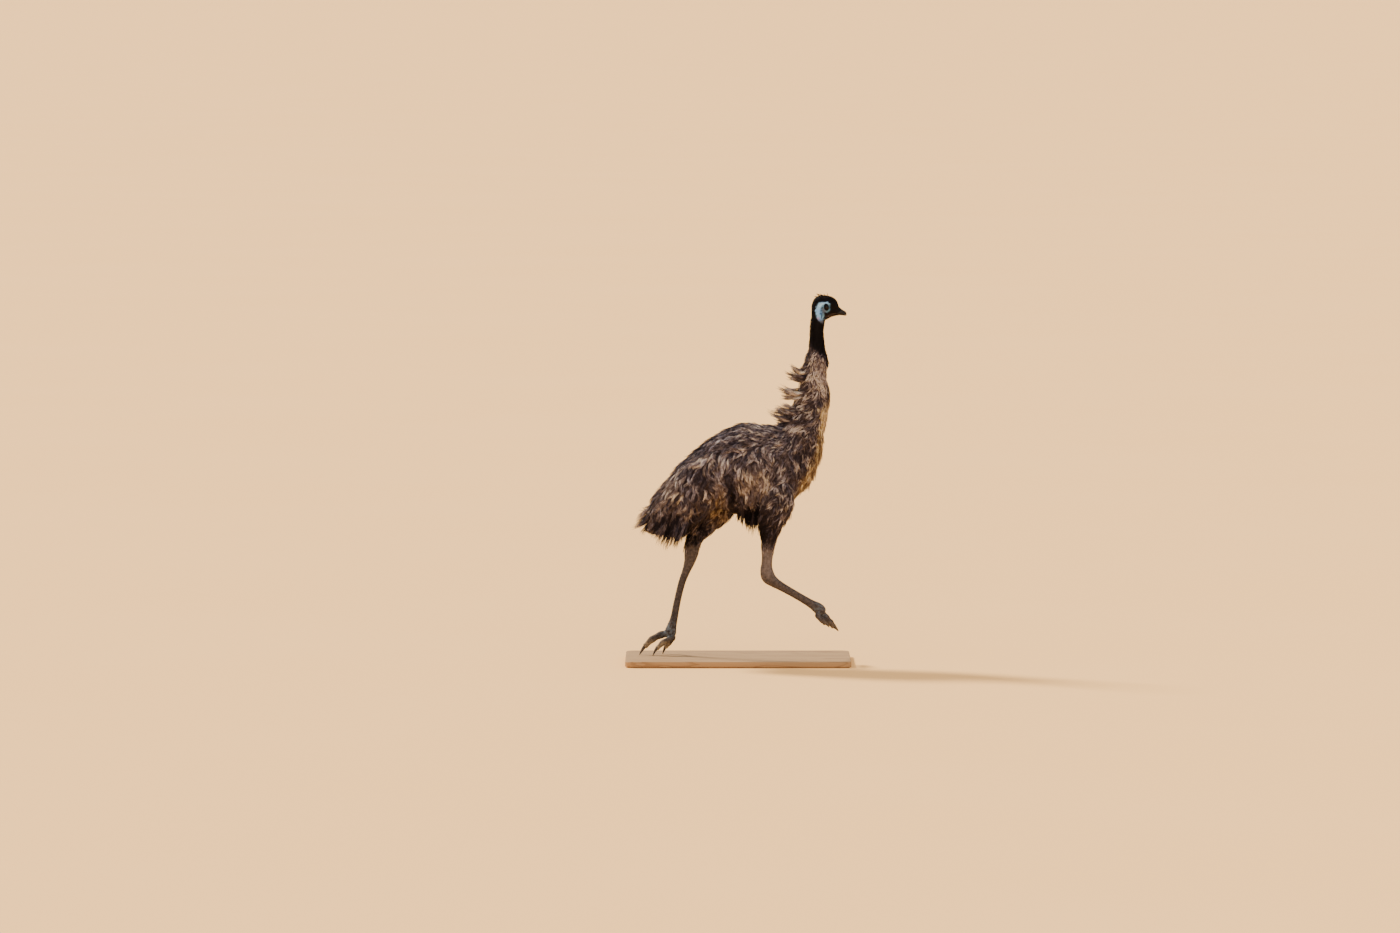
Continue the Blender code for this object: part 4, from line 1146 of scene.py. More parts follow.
def candidates(mesh, rng):
    """Points spread over the mesh, thickest where the coat is finest, with their normals."""
    points, out = coordinates(mesh), normals(mesh)
    corners = np.empty(len(mesh.loop_triangles) * 3, np.int32)
    mesh.loop_triangles.foreach_get("vertices", corners)
    corners = corners.reshape(-1, 3)
    a, b, c = (points[corners[:, k]] for k in range(3))
    area = np.linalg.norm(np.cross(b - a, c - a), axis=1) / 2
    middle = (a + b + c) / 3
    wanted = area / spacing_at(lie_at(middle)[1]) ** 2 * 9
    wanted[(middle[:, 2] < COAT_LOW) | (middle[:, 0] > COAT_FRONT)] = 0
    count = np.floor(wanted + rng.random(len(wanted))).astype(int)
    of = np.repeat(np.arange(len(corners)), count)
    u, v = np.sqrt(rng.random(len(of))), rng.random(len(of))
    shares = np.stack([1 - u, u * (1 - v), u * v], -1)
    place = sum(points[corners[of, k]] * shares[:, k:k + 1] for k in range(3))
    lean = sum(out[corners[of, k]] * shares[:, k:k + 1] for k in range(3))
    return place, unit(lean)


print("locks 12 and 90 mm long stand apart by:", spacing_at(0.012), spacing_at(0.090))

# %% [markdown]
# ## Scattering
#
# Points drawn at random clump, and a grid shows its rows. Taking them in random order and keeping
# only those that have room gives the even but irregular spread of real feathers. A dictionary of
# cells, each as wide as the largest spacing, keeps the search short.

# %% Scattering
NEIGHBOURS = [(dx, dy, dz) for dx in (0, -1, 1) for dy in (0, -1, 1) for dz in (0, -1, 1)]


def scattered(points, spacing, rng):
    """Picks points in random order so that none is closer to another than its spacing."""
    kept = []
    for low, high in ((0.0, 0.006), (0.006, 0.012), (0.012, 1.0)):
        mine = np.nonzero((spacing >= low) & (spacing < high))[0]
        cell = spacing[mine].max()
        keys = np.floor(points[mine] / cell).astype(int)
        taken = {}
        for k in rng.permutation(len(mine)):
            i, (x, y, z) = mine[k], keys[k]
            px, py, pz = points[i]
            limit = spacing[i] ** 2
            clash = False
            for dx, dy, dz in NEIGHBOURS:
                for qx, qy, qz in taken.get((x + dx, y + dy, z + dz), ()):
                    if (px - qx) ** 2 + (py - qy) ** 2 + (pz - qz) ** 2 < limit:
                        clash = True
                        break
                if clash:
                    break
            if not clash:
                taken.setdefault((x, y, z), []).append((px, py, pz))
                kept.append(i)
    return np.array(kept)


print("cells searched round each point:", len(NEIGHBOURS))

# %% [markdown]
# ## Where nothing grows
#
# Eye, ear and mouth stay free, the cheek is nearly bare, and the trousers end above the hocks in a
# wavering line. Leaving roots out is simpler than cutting finished plumes away.

# %% Roots
EYE_CLEAR, EAR_CLEAR = 0.0135, 0.0045
MOUTH_FROM, MOUTH_HEIGHT, MOUTH_CLEAR = 0.452, 1.6790, 0.0022
TROUSER_ENDS, TROUSER_WAVER = (0.552, 0.556), 0.010  # heights on the right and left leg
PLUCKED = 0.997  # share of the roots missing where the skin is bare
rng = np.random.default_rng(11)
spots, leans = candidates(skin_mesh, rng)
in_eye = np.hypot(spots[:, 0] - EYE_X, spots[:, 2] - EYE_Z) < EYE_CLEAR
in_ear = np.hypot(spots[:, 0] - EAR[0], spots[:, 2] - EAR[2]) < EAR_CLEAR
in_mouth = (spots[:, 0] > MOUTH_FROM) & (np.abs(spots[:, 2] - MOUTH_HEIGHT) < MOUTH_CLEAR)
shank_end = np.where(spots[:, 1] < 0, *TROUSER_ENDS) + TROUSER_WAVER * ripple(spots, 0.04, 2)
sparse = rng.random(len(spots)) < PLUCKED * bareness(spots)
grows = ~(in_eye | in_ear | in_mouth | sparse | (spots[:, 2] < shank_end))
spots, leans = spots[grows], leans[grows]
spacing = spacing_at(lie_at(spots)[1])
chosen = scattered(spots, spacing, rng)
roots, root_leans = spots[chosen], leans[chosen]
print("locks:", len(roots))

# %% [markdown]
# ## Combing
#
# Each lock walks over the skin in a few steps, as a comb would pull it. The nearest place on the
# skin holds it down, and its lift raises it. Where the skin turns away faster than the plume can
# bend, or the table calls it loose, it keeps its own way instead. Ripples give neighbours the same
# swing and sway, which is what gathers them into larger locks.

# %% Combing
STEPS = 5  # stretches of a lock's centre line
LENGTHS, LIFTS = (0.82, 1.16), (0.50, 1.15)  # of a lock, as shares of the table's
SWING, SWAY, HOOK = (0.28, 0.15), 0.65, (1.1, 0.5)  # in radians: shared by neighbours, a lock's own
SMOOTH_BAND = (-0.085, -0.045)  # below the line of the back, where ripples in the lift die down
SUNK_ROOT = 0.0012  # how deep in the skin a lock starts
STRAY, STRAY_LEAST, STRAY_MOST = 3.2, 0.45, 0.95  # how freely a lock leaves skin that turns away
BACK_X, BACK_Z = (tuple(row[k] for row in TRUNK[::-1]) for k in (0, 1))


def comb(start, lean, rng):
    """Centre lines of locks from their roots, and the way off the skin along each."""
    count = len(start)
    length = lie_at(start)[1] * rng.uniform(*LENGTHS, count)
    smooth = 1 - 0.7 * ease(*SMOOTH_BAND, start[:, 2] - np.interp(start[:, 0], BACK_X, BACK_Z))
    lift_by = rng.uniform(*LIFTS, count) * (1 + 0.45 * smooth * ripple(start, 0.045, 23))
    swing = SWING[0] * ripple(start, 0.050, 21) + rng.normal(0, SWING[1], count)
    sway, phase = SWAY * ripple(start, 0.032, 25), 1.5 * ripple(start, 0.060, 27)
    hook = HOOK[0] * ripple(start, 0.026, 29) + rng.normal(0, HOOK[1], count)
    at, line, ups = start, [start - lean * SUNK_ROOT], [lean]
    under, out = start, lean
    stride = (length / STEPS)[:, None]
    for step in range(1, STEPS + 1):
        share = step / STEPS
        way, _, lift, loose, curl = lie_at(at)
        cross = np.cross(out, way)
        bend = swing + sway * np.cos(5.5 * share + phase) + hook * share ** 2
        way = unit(way + cross * bend[:, None])
        along = unit(way - (way * out).sum(1, keepdims=True) * out)
        ahead = under + along * stride
        landed, out = on_skin(ahead)
        drift = np.linalg.norm(landed - ahead, axis=1) / stride[:, 0]
        stray = np.clip(STRAY * drift - STRAY_LEAST, 0, STRAY_MOST)
        loose = np.maximum(loose, stray) * ease(0.0, 0.7, share)
        held = landed + out * (lift * lift_by * share ** 0.8)[:, None]
        flight = unit(0.5 * way + np.outer(curl * share, [0, 0, 1])) if step > 1 else along
        free = at + flight * stride
        under = landed
        at = held + loose[:, None] * (free - held)
        line.append(at)
        ups.append(unit(out + 1e-6))
    return np.stack(line, 1), np.stack(ups, 1), length


def count_of(length):
    """How many blades a lock of that length has: 117 more for each metre, from 3 to 12."""
    return np.clip(2.35 + 117 * length, 3, 12).astype(int)


print("blades in locks 12 and 90 mm long:", count_of(np.array([0.012, 0.090])))

# %% [markdown]
# ## Locks that stand clear
#
# A running emu's outline is ragged: the ruff's tips blow off the nape, wisps hang under the belly,
# the tail is frayed and a low crest stands on the crown. Chance would seldom put them in the right
# places, so these few locks are set one by one, each from a root to a tip.

# %% Tips set one by one
RUFF_TIPS = (  # height of the root, then X and Z of the tip, in three tiers
    (1.392, 0.248, 1.431), (1.376, 0.230, 1.405), (1.366, 0.230, 1.379),
    (1.306, 0.196, 1.328), (1.299, 0.206, 1.308), (1.290, 0.200, 1.290),
    (1.232, 0.208, 1.250), (1.216, 0.172, 1.238), (1.200, 0.158, 1.222), (1.180, 0.144, 1.204),
)
BELLY_TIPS = ((0.098, 0.632), (0.074, 0.622), (0.046, 0.640), (0.015, 0.664))
CREST = ((0.402, 1.765, 0.374, 1.772), (0.380, 1.759, 0.362, 1.764), (0.432, 1.760, 0.427, 1.779),
         (0.420, 1.764, 0.408, 1.776), (0.388, 1.764, 0.378, 1.776), (0.408, 1.766, 0.392, 1.775))
STRANDS, STRAND_BLADES = 3, 13  # locks at each place, and blades in each
TAIL_PLACES = 15  # along each side of the tail's rim
EVEN_TURNS, ODD_TURNS = (-54, -26, 0, 28, 56), (-66, -38, -12, 14, 40, 68)  # degrees round the nape


def free_locks(rng):
    """Roots, tips and sags of the locks that stand clear of the outline."""
    made = []
    heights, napes, _, halves = np.array(NECK).T
    for k, (root_z, tip_x, tip_z) in enumerate(RUFF_TIPS):
        nape, half = np.interp(root_z, heights, napes), np.interp(root_z, heights, halves)
        for turn in ODD_TURNS if k % 2 else EVEN_TURNS:
            across, back = math.sin(math.radians(turn)), math.cos(math.radians(turn))
            behind = nape + 0.02 - (nape + 0.02 - tip_x) * back
            made.append(((nape + 0.045 - 0.010 * back, 0.80 * half * across, root_z + 0.006),
                         (behind, (half + 0.030) * across, tip_z - 0.014 * across ** 2), 0.012))
    for side in (-1, 1):
        for k in range(TAIL_PLACES):
            share = k / (TAIL_PLACES - 1)
            x, width = -0.262 - 0.190 * share, 0.165 - 0.120 * share ** 1.5
            low = 0.564 + 0.100 * share ** 2 + 0.014 * math.cos(2.4 * k)
            made.append(((x + 0.020, side * width * 0.92, 0.700 + 0.01 * share),
                         (x - 0.022 - 0.016 * share, side * width, low), 0.004))
            made.append(((x + 0.015, side * width * 0.70, 0.745 + 0.03 * share),
                         (x - 0.030 - 0.012 * share, side * width * 0.80, low + 0.030), 0.004))
        for x, low in BELLY_TIPS:
            made.append(((x + 0.010, side * 0.110, 0.760), (x, side * 0.112, low), 0.0))
            made.append(((x - 0.004, side * 0.080, 0.740), (x - 0.012, side * 0.078, low + 0.014), 0.0))
        made.append(((-0.430, side * 0.020, 0.715), (-0.502, side * 0.012, 0.645), 0.010))
        made.append(((-0.425, side * 0.030, 0.740), (-0.486, side * 0.030, 0.672), 0.010))
        for x, z, tip_x, tip_z in CREST:
            made.append(((x, side * 0.006, z), (tip_x, side * 0.008, tip_z), 0.0))
    roots, tips, sags = (np.repeat(np.array(column, float), STRANDS, axis=0) for column in zip(*made))
    size = np.minimum(np.linalg.norm(tips - roots, axis=1), 0.10)[:, None]
    roots += rng.normal(0, 0.06, roots.shape) * size
    tips += rng.normal(0, 0.07, tips.shape) * size
    tips = roots + (tips - roots) * rng.uniform(0.82, 1.07, (len(tips), 1))
    return roots, tips, sags


print("tips of ruff, belly and crest:", len(RUFF_TIPS), len(BELLY_TIPS), len(CREST))

# %% [markdown]
# ## Hanging them
#
# A straight line from root to tip would look like wire. Each lock sags a little, and waves to one
# side more and more towards its tip.

# %% Locks that stand clear
def hang_free(rng):
    """Centre lines of the free locks, each in a soft bow from the skin to its tip."""
    inner, tips, sags = free_locks(rng)
    start, lean = on_skin(inner)
    shares = np.linspace(0, 1, STEPS + 1)[None, :, None]
    line = start[:, None] + shares * (tips - start)[:, None]
    line[:, :, 2] -= sags[:, None] * np.sin(math.pi * shares[:, :, 0])
    ahead = unit(tips - start)
    aside = unit(rng.normal(size=start.shape))
    wave = 0.085 * np.linalg.norm(tips - start, axis=1) * rng.uniform(0.3, 1.0, len(start))
    line += (wave[:, None] * np.sin(5.5 * shares[:, :, 0] + rng.uniform(0, 6.3, (len(start), 1)))
             * shares[:, :, 0])[..., None] * aside[:, None]
    raised = lean + [0, 0, 0.6]
    up = unit(raised - (raised * ahead).sum(1, keepdims=True) * ahead)
    return line, np.repeat(up[:, None], STEPS + 1, axis=1), np.linalg.norm(tips - start, axis=1)


free_lines, free_ups, free_lengths = hang_free(rng)
print("locks that stand clear:", len(free_lines))

# %% [markdown]
# ## Blades
#
# A blade is a thin, three-sided spike over a few rings and one tip. The blades of a lock start
# spread over its root and gather towards its tip. Each also sways and rolls a little by itself, so
# that light catches them differently. Flat ribbons would be lighter, but they aren't closed.

# %% Blades
LONG = (np.array([0.0, 0.28, 0.58, 0.84]), np.array([0.70, 1.00, 0.85, 0.50]))  # rings, and width there
SHORT = (np.array([0.0, 0.40, 0.78]), np.array([0.75, 1.00, 0.60]))
REACHES, GATHERS = (0.62, 1.06), (0.35, 0.95)  # of a blade along its lock, and in towards its middle
SPREAD, WAVE, LAYERS = 0.62, 0.055, (-0.100, 0.045)  # round the root, sideways, and in or out
NARROWEST, WIDEST, WIDTHS = 0.0006, 0.0028, (0.70, 1.2)
ROLL, KEEL = 0.6, 0.75  # how unevenly blades face, and how high their third edge stands


def along_lines(lines, shares):
    """Points of each line at each of its own shares; past the end the line runs straight on."""
    last = lines.shape[1] - 1
    place = shares * last
    at = np.clip(place.astype(int), 0, last - 1)
    rest = (place - at)[..., None]
    index = np.arange(len(lines))[:, None]
    return lines[index, at] * (1 - rest) + lines[index, at + 1] * rest


def blades(line, up, length, counts, stations, rng):
    """Blades of each lock: their rings, tips and the lock each belongs to."""
    places, taper = stations
    of = np.repeat(np.arange(len(line)), counts)
    count = len(of)
    reach = rng.uniform(*REACHES, count)
    shares = np.append(places, 1.0)[None] * reach[:, None]
    centre = along_lines(line[of], shares)
    outward = unit(along_lines(up[of], np.minimum(shares, 1)))
    ahead = unit(along_lines(line[of], shares + 0.05) - along_lines(line[of], shares - 0.05))
    side = unit(np.cross(ahead, outward))
    outward = np.cross(side, ahead)
    own = length[of]
    spread = SPREAD * spacing_at(own) * np.sqrt(rng.random(count))
    turn = rng.uniform(0, 2 * math.pi, count)
    pull = 1 - shares * rng.uniform(*GATHERS, count)[:, None]
    sway = WAVE * own * rng.normal(size=count)
    bend = sway[:, None] * np.sin(shares * 4.5 + rng.uniform(0, 6.3, count)[:, None]) * shares
    centre += side * ((spread * np.cos(turn))[:, None] * pull + bend)[..., None]
    centre += ahead * ((spread * np.sin(turn))[:, None] * (1 - shares))[..., None]
    depth = rng.uniform(*LAYERS, count) * own
    centre += outward * (depth[:, None] * shares)[..., None]
    width = np.clip(0.00045 + 0.029 * own, NARROWEST, WIDEST) * rng.uniform(*WIDTHS, count)
    roll = rng.normal(0, ROLL, count)[:, None, None]
    flat = side * np.cos(roll) + outward * np.sin(roll)
    keel = outward * np.cos(roll) - side * np.sin(roll)
    half = (width[:, None] * taper / 2)[..., None]
    middle, flat, keel = centre[:, :-1], flat[:, :-1], keel[:, :-1]
    rings = np.stack([middle - flat * half, middle + flat * half, middle + keel * half * KEEL], 2)
    return rings, centre[:, -1], of


print("triangles in a long and a short blade:", 6 * len(LONG[0]) - 2, 6 * len(SHORT[0]) - 2)

# %% [markdown]
# ## A place on the colour map for each blade
#
# A coat's map is a square of small cells. Each blade takes the free cell nearest to where its root
# lies on the skin laid flat, so that no two blades share a cell and neighbours stay together. An
# automatic unwrap would scatter tens of thousands of slivers.

# %% Cells of the map
CELLS = 300  # small squares along each side of a coat's colour map
PATCH = 0.0030  # how much of the map's side a blade fills
AWAY = range(-24, 25)  # cells looked at to each side
BY_DISTANCE = sorted(((i, j) for i in AWAY for j in AWAY), key=lambda step: step[0] ** 2 + step[1] ** 2)


def free_cells(u, v):
    """The free square nearest to each place of a map, one for each blade."""
    taken, made = set(), []
    for i, j in zip((u * (CELLS - 1)).astype(int).tolist(), (v * (CELLS - 1)).astype(int).tolist()):
        for di, dj in BY_DISTANCE:
            cell = (i + di, j + dj)
            if 0 <= cell[0] < CELLS and 0 <= cell[1] < CELLS and cell not in taken:
                break
        taken.add(cell)
        made.append(cell)
    return np.array(made) / CELLS


print("cells of a map:", CELLS ** 2, "each wide:", round(1 / CELLS, 5))

# %% [markdown]
# ## Blades into one mesh
#
# All blades of a piece have the same pattern of faces. It is written once and shifted along for
# each blade, so a mesh of many thousand blades is made by a few calls.

# %% Coat mesh
def coat_mesh(rings, tips, places, corner, values):
    """One mesh of closed blades, each with its own patch of the colour map."""
    count = len(rings)
    per = places.size * 3 + 1
    verts = np.concatenate([rings.reshape(count, -1, 3), tips[:, None]], 1).reshape(-1, 3)
    quads = [(3 * k + i, 3 * k + (i + 1) % 3, 3 * k + 3 + (i + 1) % 3, 3 * k + 3 + i)
             for k in range(places.size - 1) for i in range(3)]
    threes = [(per - 4 + i, per - 4 + (i + 1) % 3, per - 1) for i in range(3)] + [(2, 1, 0)]
    start = np.arange(count)[:, None, None] * per
    loops = np.concatenate([(start + np.array(quads)).ravel(), (start + np.array(threes)).ravel()])
    sizes = np.concatenate([np.full(count * len(quads), 4), np.full(count * len(threes), 3)])
    mesh = bpy.data.meshes.new("coat")
    mesh.vertices.add(len(verts))
    mesh.vertices.foreach_set("co", verts.astype(np.float32).ravel())
    mesh.loops.add(len(loops))
    mesh.loops.foreach_set("vertex_index", loops.astype(np.int32))
    mesh.polygons.add(len(sizes))
    mesh.polygons.foreach_set("loop_start", np.concatenate([[0], np.cumsum(sizes)[:-1]]).astype(np.int32))
    mesh.update(calc_edges=True)
    share = np.append(np.repeat(places, 3), 1.0)
    across = np.append(np.tile([0.0, 1.0, 0.5], places.size), 0.5)
    inside = np.stack([across, share], -1) * PATCH
    patches = (corner[:, None] + inside[None]).reshape(-1, 2)
    layer = mesh.uv_layers.new(name="OFBake")
    layer.data.foreach_set("uv", patches[loops].astype(np.float32).ravel())
    write_values(mesh, "along", np.tile(share, count))
    for name, each in values.items():
        write_values(mesh, name, np.repeat(each, per))
    return mesh


print("meshes before the coat:", len(bpy.data.meshes))

# %% [markdown]
# ## Pieces of the coat
#
# One mesh of a million triangles is hard to handle, so the coat is cut where a skinner would part
# it: head, neck, ruff, back, breast, belly, flanks, thighs and tail. A root belongs to one piece by
# its place alone. Later rules overrule earlier ones.

# %% Pieces
FLANK_SPLIT, TAIL_FROM, BREAST_FROM, RUFF_FROM = -0.03, -0.245, 0.335, 0.17  # X where each begins or ends
BACK_BAND, BELLY_BAND = 0.075, 0.115  # below the line of the back, and below the trunk's middle
THIGH_REACH, THIGH_TOPS = 0.095, (0.80, 0.73)  # right and left
NECK_FROM, HEAD_FROM = 1.42, 1.648  # heights
SPINE = [(row[0], 0.0, (row[1] + row[2]) / 2) for row in TRUNK]
NECK_LINE = [((row[1] + row[2]) / 2, 0.0, row[0]) for row in NECK]
AXES = {"head": [(0.340, 0, 1.690), (0.40, 0, 1.700), (0.490, 0, 1.690)], "neck": NECK_LINE, "trunk": SPINE,
        "right": [row[:3] for row in THIGH_RIGHT], "left": [row[:3] for row in THIGH_LEFT]}


def spread_out(points, axis):
    """Places on a flat map of the skin: along its axis, and round it from the middle of the piece."""
    run, turn = limb_places(points, axis)
    around = np.exp(1j * turn)
    turn = np.angle(around / (around.mean() + 1e-9))
    return tuple((value - value.min()) / (np.ptp(value) + 1e-9) for value in (run, turn))


def gap_to(points, stations):
    """How far each point is from the nearest station."""
    places = np.array(stations)[:, :3]
    return np.array([np.min(np.linalg.norm(places - point, axis=1)) for point in points])


def pieces_of(points):
    """Which coat piece each root belongs to, by where it is."""
    x, y, z = points.T
    made = np.full(len(points), "flank_rear", object)
    made[x > FLANK_SPLIT] = "flank_fore"
    middle = np.interp(x, [row[0] for row in SPINE[::-1]], [row[2] for row in SPINE[::-1]])
    top = np.interp(x, [row[0] for row in TRUNK[::-1]], [row[1] for row in TRUNK[::-1]])
    made[z > top - BACK_BAND] = "back"
    made[x < TAIL_FROM] = "tail"
    made[(z < middle - BELLY_BAND) & (x > TAIL_FROM)] = "belly"
    made[x > BREAST_FROM] = "breast"
    made[(gap_to(points, THIGH_RIGHT) < THIGH_REACH) & (z < THIGH_TOPS[0])] = "thigh_right"
    made[(gap_to(points, THIGH_LEFT) < THIGH_REACH) & (z < THIGH_TOPS[1])] = "thigh_left"
    neck_foot = 1.13 + 0.15 * (x - 0.20)  # the neck rises from a slightly sloping line
    made[z > neck_foot] = "ruff"
    made[(z > neck_foot) & (x < RUFF_FROM)] = "back"
    made[z > NECK_FROM] = "neck"
    made[z > HEAD_FROM] = "head"
    sided = np.isin(made, ["flank_rear", "flank_fore", "ruff", "tail", "belly"])
    made[sided] = made[sided] + np.where(y[sided] < 0, "_right", "_left")
    return made


names, free_names = pieces_of(roots), pieces_of(free_lines[:, 0])
print("pieces of the coat:", len(set(names)))

# %% [markdown]
# ## The coat itself
#
# A piece's locks are combed, joined by those set by hand, and cut into blades. Each blade keeps two
# numbers, how pale and how warm it is, read from the markings a little way along its lock. Whole
# locks vary in patches and single blades by chance, because plumes do.

# %% Coat
AXIS_OF = {"head": "head", "neck": "neck", "ruff_right": "neck", "ruff_left": "neck",
           "thigh_right": "right", "thigh_left": "left"}
PATCHINESS, LOCK_CHANCE = 1.0, 0.5  # what patches and single locks add to the mottling
FLECKS = (1.8, 0.66)  # strength, and how much of that lies below the tone of the ground
BLADE_CHANCE = 0.15  # how much single blades differ in tone, and locks in warmth


def grow(name, start, lean, free, rng):
    """The coat of one part of the bird as a mesh: combed locks, and those that stand clear."""
    line, up, length = comb(start, lean, rng)
    counts = np.append(count_of(length), np.where(free_lengths[free] > 0.03, STRAND_BLADES, 4))
    line, up = np.concatenate([line, free_lines[free]]), np.concatenate([up, free_ups[free]])
    length, start = np.append(length, free_lengths[free]), np.concatenate([start, free_lines[free, 0]])
    stations = SHORT if name in ("head", "neck") else LONG
    rings, tips, of = blades(line, up, length, counts, stations, rng)
    corner = free_cells(*spread_out(start[of], AXES[AXIS_OF.get(name, "trunk")]))
    pale, warm, mottled = markings(line[:, 3])
    patchy = PATCHINESS * ripple(start * [1, 1, 0.45], 0.034, 31) + LOCK_CHANCE * rng.normal(size=len(start))
    flecks = FLECKS[0] * ease(-0.3, 1.5, patchy) - FLECKS[1]
    tone = np.clip(pale + mottled * flecks, 0.01, 1.0)[of]
    tone = np.clip(tone + rng.normal(0, BLADE_CHANCE, len(of)) * tone, 0.0, 1.0)
    warmth = np.clip(warm + BLADE_CHANCE * rng.normal(size=len(start)), 0, 1)[of]
    return coat_mesh(rings, tips, stations[0], corner, {"tone": tone, "warmth": warmth})


coat_meshes = {}
for name in sorted(set(names)):
    mine = names == name
    coat_meshes[name] = grow(name, roots[mine], root_leans[mine], free_names == name, rng)
    coat_meshes[name].calc_loop_triangles()
    print("coat", name, mine.sum(), "locks,", len(coat_meshes[name].loop_triangles), "triangles")
print("coat in all:", sum(len(mesh.loop_triangles) for mesh in coat_meshes.values()))

# %% [markdown]
# ## Finishes
#
# A finish is a small sum worked out at every point of a surface. Written as Python expressions it
# stays readable: the class below wraps a socket, so that 1 - mask or tone * 0.5 adds the Math nodes.

# %% Shader sums
class Wire:
    """An output of a node. Arithmetic on it adds Math nodes to the same finish."""

    def __init__(self, finish, socket):
        self.finish, self.socket = finish, socket

    def sum(self, operation, first, second):
        return self.finish.node("ShaderNodeMath", {"operation": operation}, {0: first, 1: second})

    def __add__(self, other):
        return self.sum("ADD", self, other)

    def __radd__(self, other):
        return self.sum("ADD", other, self)

    def __sub__(self, other):
        return self.sum("SUBTRACT", self, other)

    def __rsub__(self, other):
        return self.sum("SUBTRACT", other, self)

    def __mul__(self, other):
        return self.sum("MULTIPLY", self, other)

    def __rmul__(self, other):
        return self.sum("MULTIPLY", other, self)


print("reflected forms:", sorted(name for name in vars(Wire) if name.startswith("__r")))

# %% [markdown]
# ## One material
#
# All other nodes come from one method, which sets a node up, feeds its sockets and hands back its
# output. The short methods after it give the usual nodes plain names.

# %% Finish
class Finish:
    """One material: a Principled shader and the nodes that feed it."""

    def __init__(self, name, **constants):
        self.material = bpy.data.materials.new(name)
        self.material.use_nodes = True
        self.tree = self.material.node_tree
        self.shader = next(node for node in self.tree.nodes if node.type == "BSDF_PRINCIPLED")
        for socket, value in constants.items():
            self.shader.inputs[socket.replace("_", " ")].default_value = value

    def node(self, kind, settings=None, values=None, out=0):
        """Adds a node: its settings first, then the values or links of its sockets."""
        made = self.tree.nodes.new(kind)
        for name, setting in (settings or {}).items():
            if name == "stops":
                ramp = made.color_ramp.elements
                for k, (place, colour) in enumerate(setting):
                    stop = ramp[k] if k < 2 else ramp.new(place)
                    stop.position, stop.color = place, (*colour, 1.0)
            else:
                setattr(made, name, setting)
        for socket, value in (values or {}).items():
            self.feed(made.inputs[socket], value)
        return Wire(self, made.outputs[out])

    def feed(self, socket, value):
        """Links a wire to a socket, or sets its value."""
        if isinstance(value, Wire):
            self.tree.links.new(value.socket, socket)
        else:
            socket.default_value = value

    def set(self, **sockets):
        """Feeds the shader's own sockets."""
        for name, value in sockets.items():
            self.feed(self.shader.inputs[name.replace("_", " ")], value)
        return self.material

    def place(self):
        """Where a point is, in metres."""
        return self.node("ShaderNodeTexCoord", out="Object")

    def value(self, name):
        """A number stored on the mesh."""
        return self.node("ShaderNodeAttribute", {"attribute_name": name}, out="Fac")

    def noise(self, scale, detail=3.0, rough=0.55, where=None):
        """Soft random lumps, so many to a metre."""
        return self.node("ShaderNodeTexNoise", {}, {"Vector": where or self.place(), "Scale": scale,
                                                    "Detail": detail, "Roughness": rough})

    def stretched(self, amounts):
        """The point's place, squeezed along each axis."""
        return self.node("ShaderNodeVectorMath", {"operation": "MULTIPLY"}, {0: self.place(), 1: amounts})

    def between(self, low, high, value):
        """0 below low, 1 above high, smooth between."""
        return self.node("ShaderNodeMapRange", {"interpolation_type": "SMOOTHSTEP"},
                         {"Value": value, "From Min": low, "From Max": high})

    def ramp(self, value, stops):
        """A colour for each value."""
        return self.node("ShaderNodeValToRGB", {"stops": stops}, {"Fac": value})

    def mix(self, share, first, second):
        """Two colours blended."""
        first, second = ((*each, 1.0) if isinstance(each, tuple) else each for each in (first, second))
        return self.node("ShaderNodeMix", {"data_type": "RGBA"}, {0: share, 6: first, 7: second}, out=2)

    def bump(self, height, strength, distance):
        """A normal roughened by a height."""
        return self.node("ShaderNodeBump", {}, {"Height": height, "Strength": strength, "Distance": distance})


print("materials so far:", len(bpy.data.materials))

# %% [markdown]
# ## Plumes and skin
#
# Each blade carries its tone and warmth. The ramps turn them into colours: near-black through
# grey-brown to a bleached tan, with a golden row for warm places, which on breast and throat paints
# warm bounce light. Plumes are darker at the root, where light seldom reaches, and a dark tip
# finishes the paler ones.

# %% Plumage
COOL = ((0.0, (0.0025, 0.002, 0.0028)), (0.25, (0.035, 0.028, 0.039)), (0.50, (0.160, 0.133, 0.160)),
        (0.75, (0.390, 0.332, 0.350)), (1.0, (0.680, 0.600, 0.580)))
WARM = ((0.0, (0.005, 0.003, 0.002)), (0.25, (0.080, 0.046, 0.023)), (0.50, (0.300, 0.195, 0.090)),
        (0.75, (0.620, 0.445, 0.215)), (1.0, (0.860, 0.700, 0.420)))


def plume_colour(finish, tone, warmth):
    """Grey-brown to tan, or dark gold to buff."""
    return finish.mix(warmth, finish.ramp(tone, COOL), finish.ramp(tone, WARM))


def plumage():
    """Dry, coarse plumes."""
    finish = Finish("plumes", Roughness=0.62, Specular_IOR_Level=0.06)
    along, tone = finish.value("along"), finish.value("tone")
    streaks = finish.noise(420.0, 2.0)
    patches = finish.between(0.38, 0.62, finish.noise(58.0, 3.0, 0.6))
    rootward = 0.50 + 0.54 * finish.between(0.05, 0.50, along)
    shaded = tone * rootward * (0.72 + 0.36 * streaks + 0.48 * patches)
    dark_tip = finish.between(0.74, 1.0, along) * finish.between(0.30, 0.60, tone)
    colour = plume_colour(finish, shaded * (1 - 0.45 * dark_tip), finish.value("warmth"))
    return finish.set(Base_Color=colour, Roughness=0.58 + 0.2 * streaks)


print("stops of the two rows of colour:", len(COOL), len(WARM))
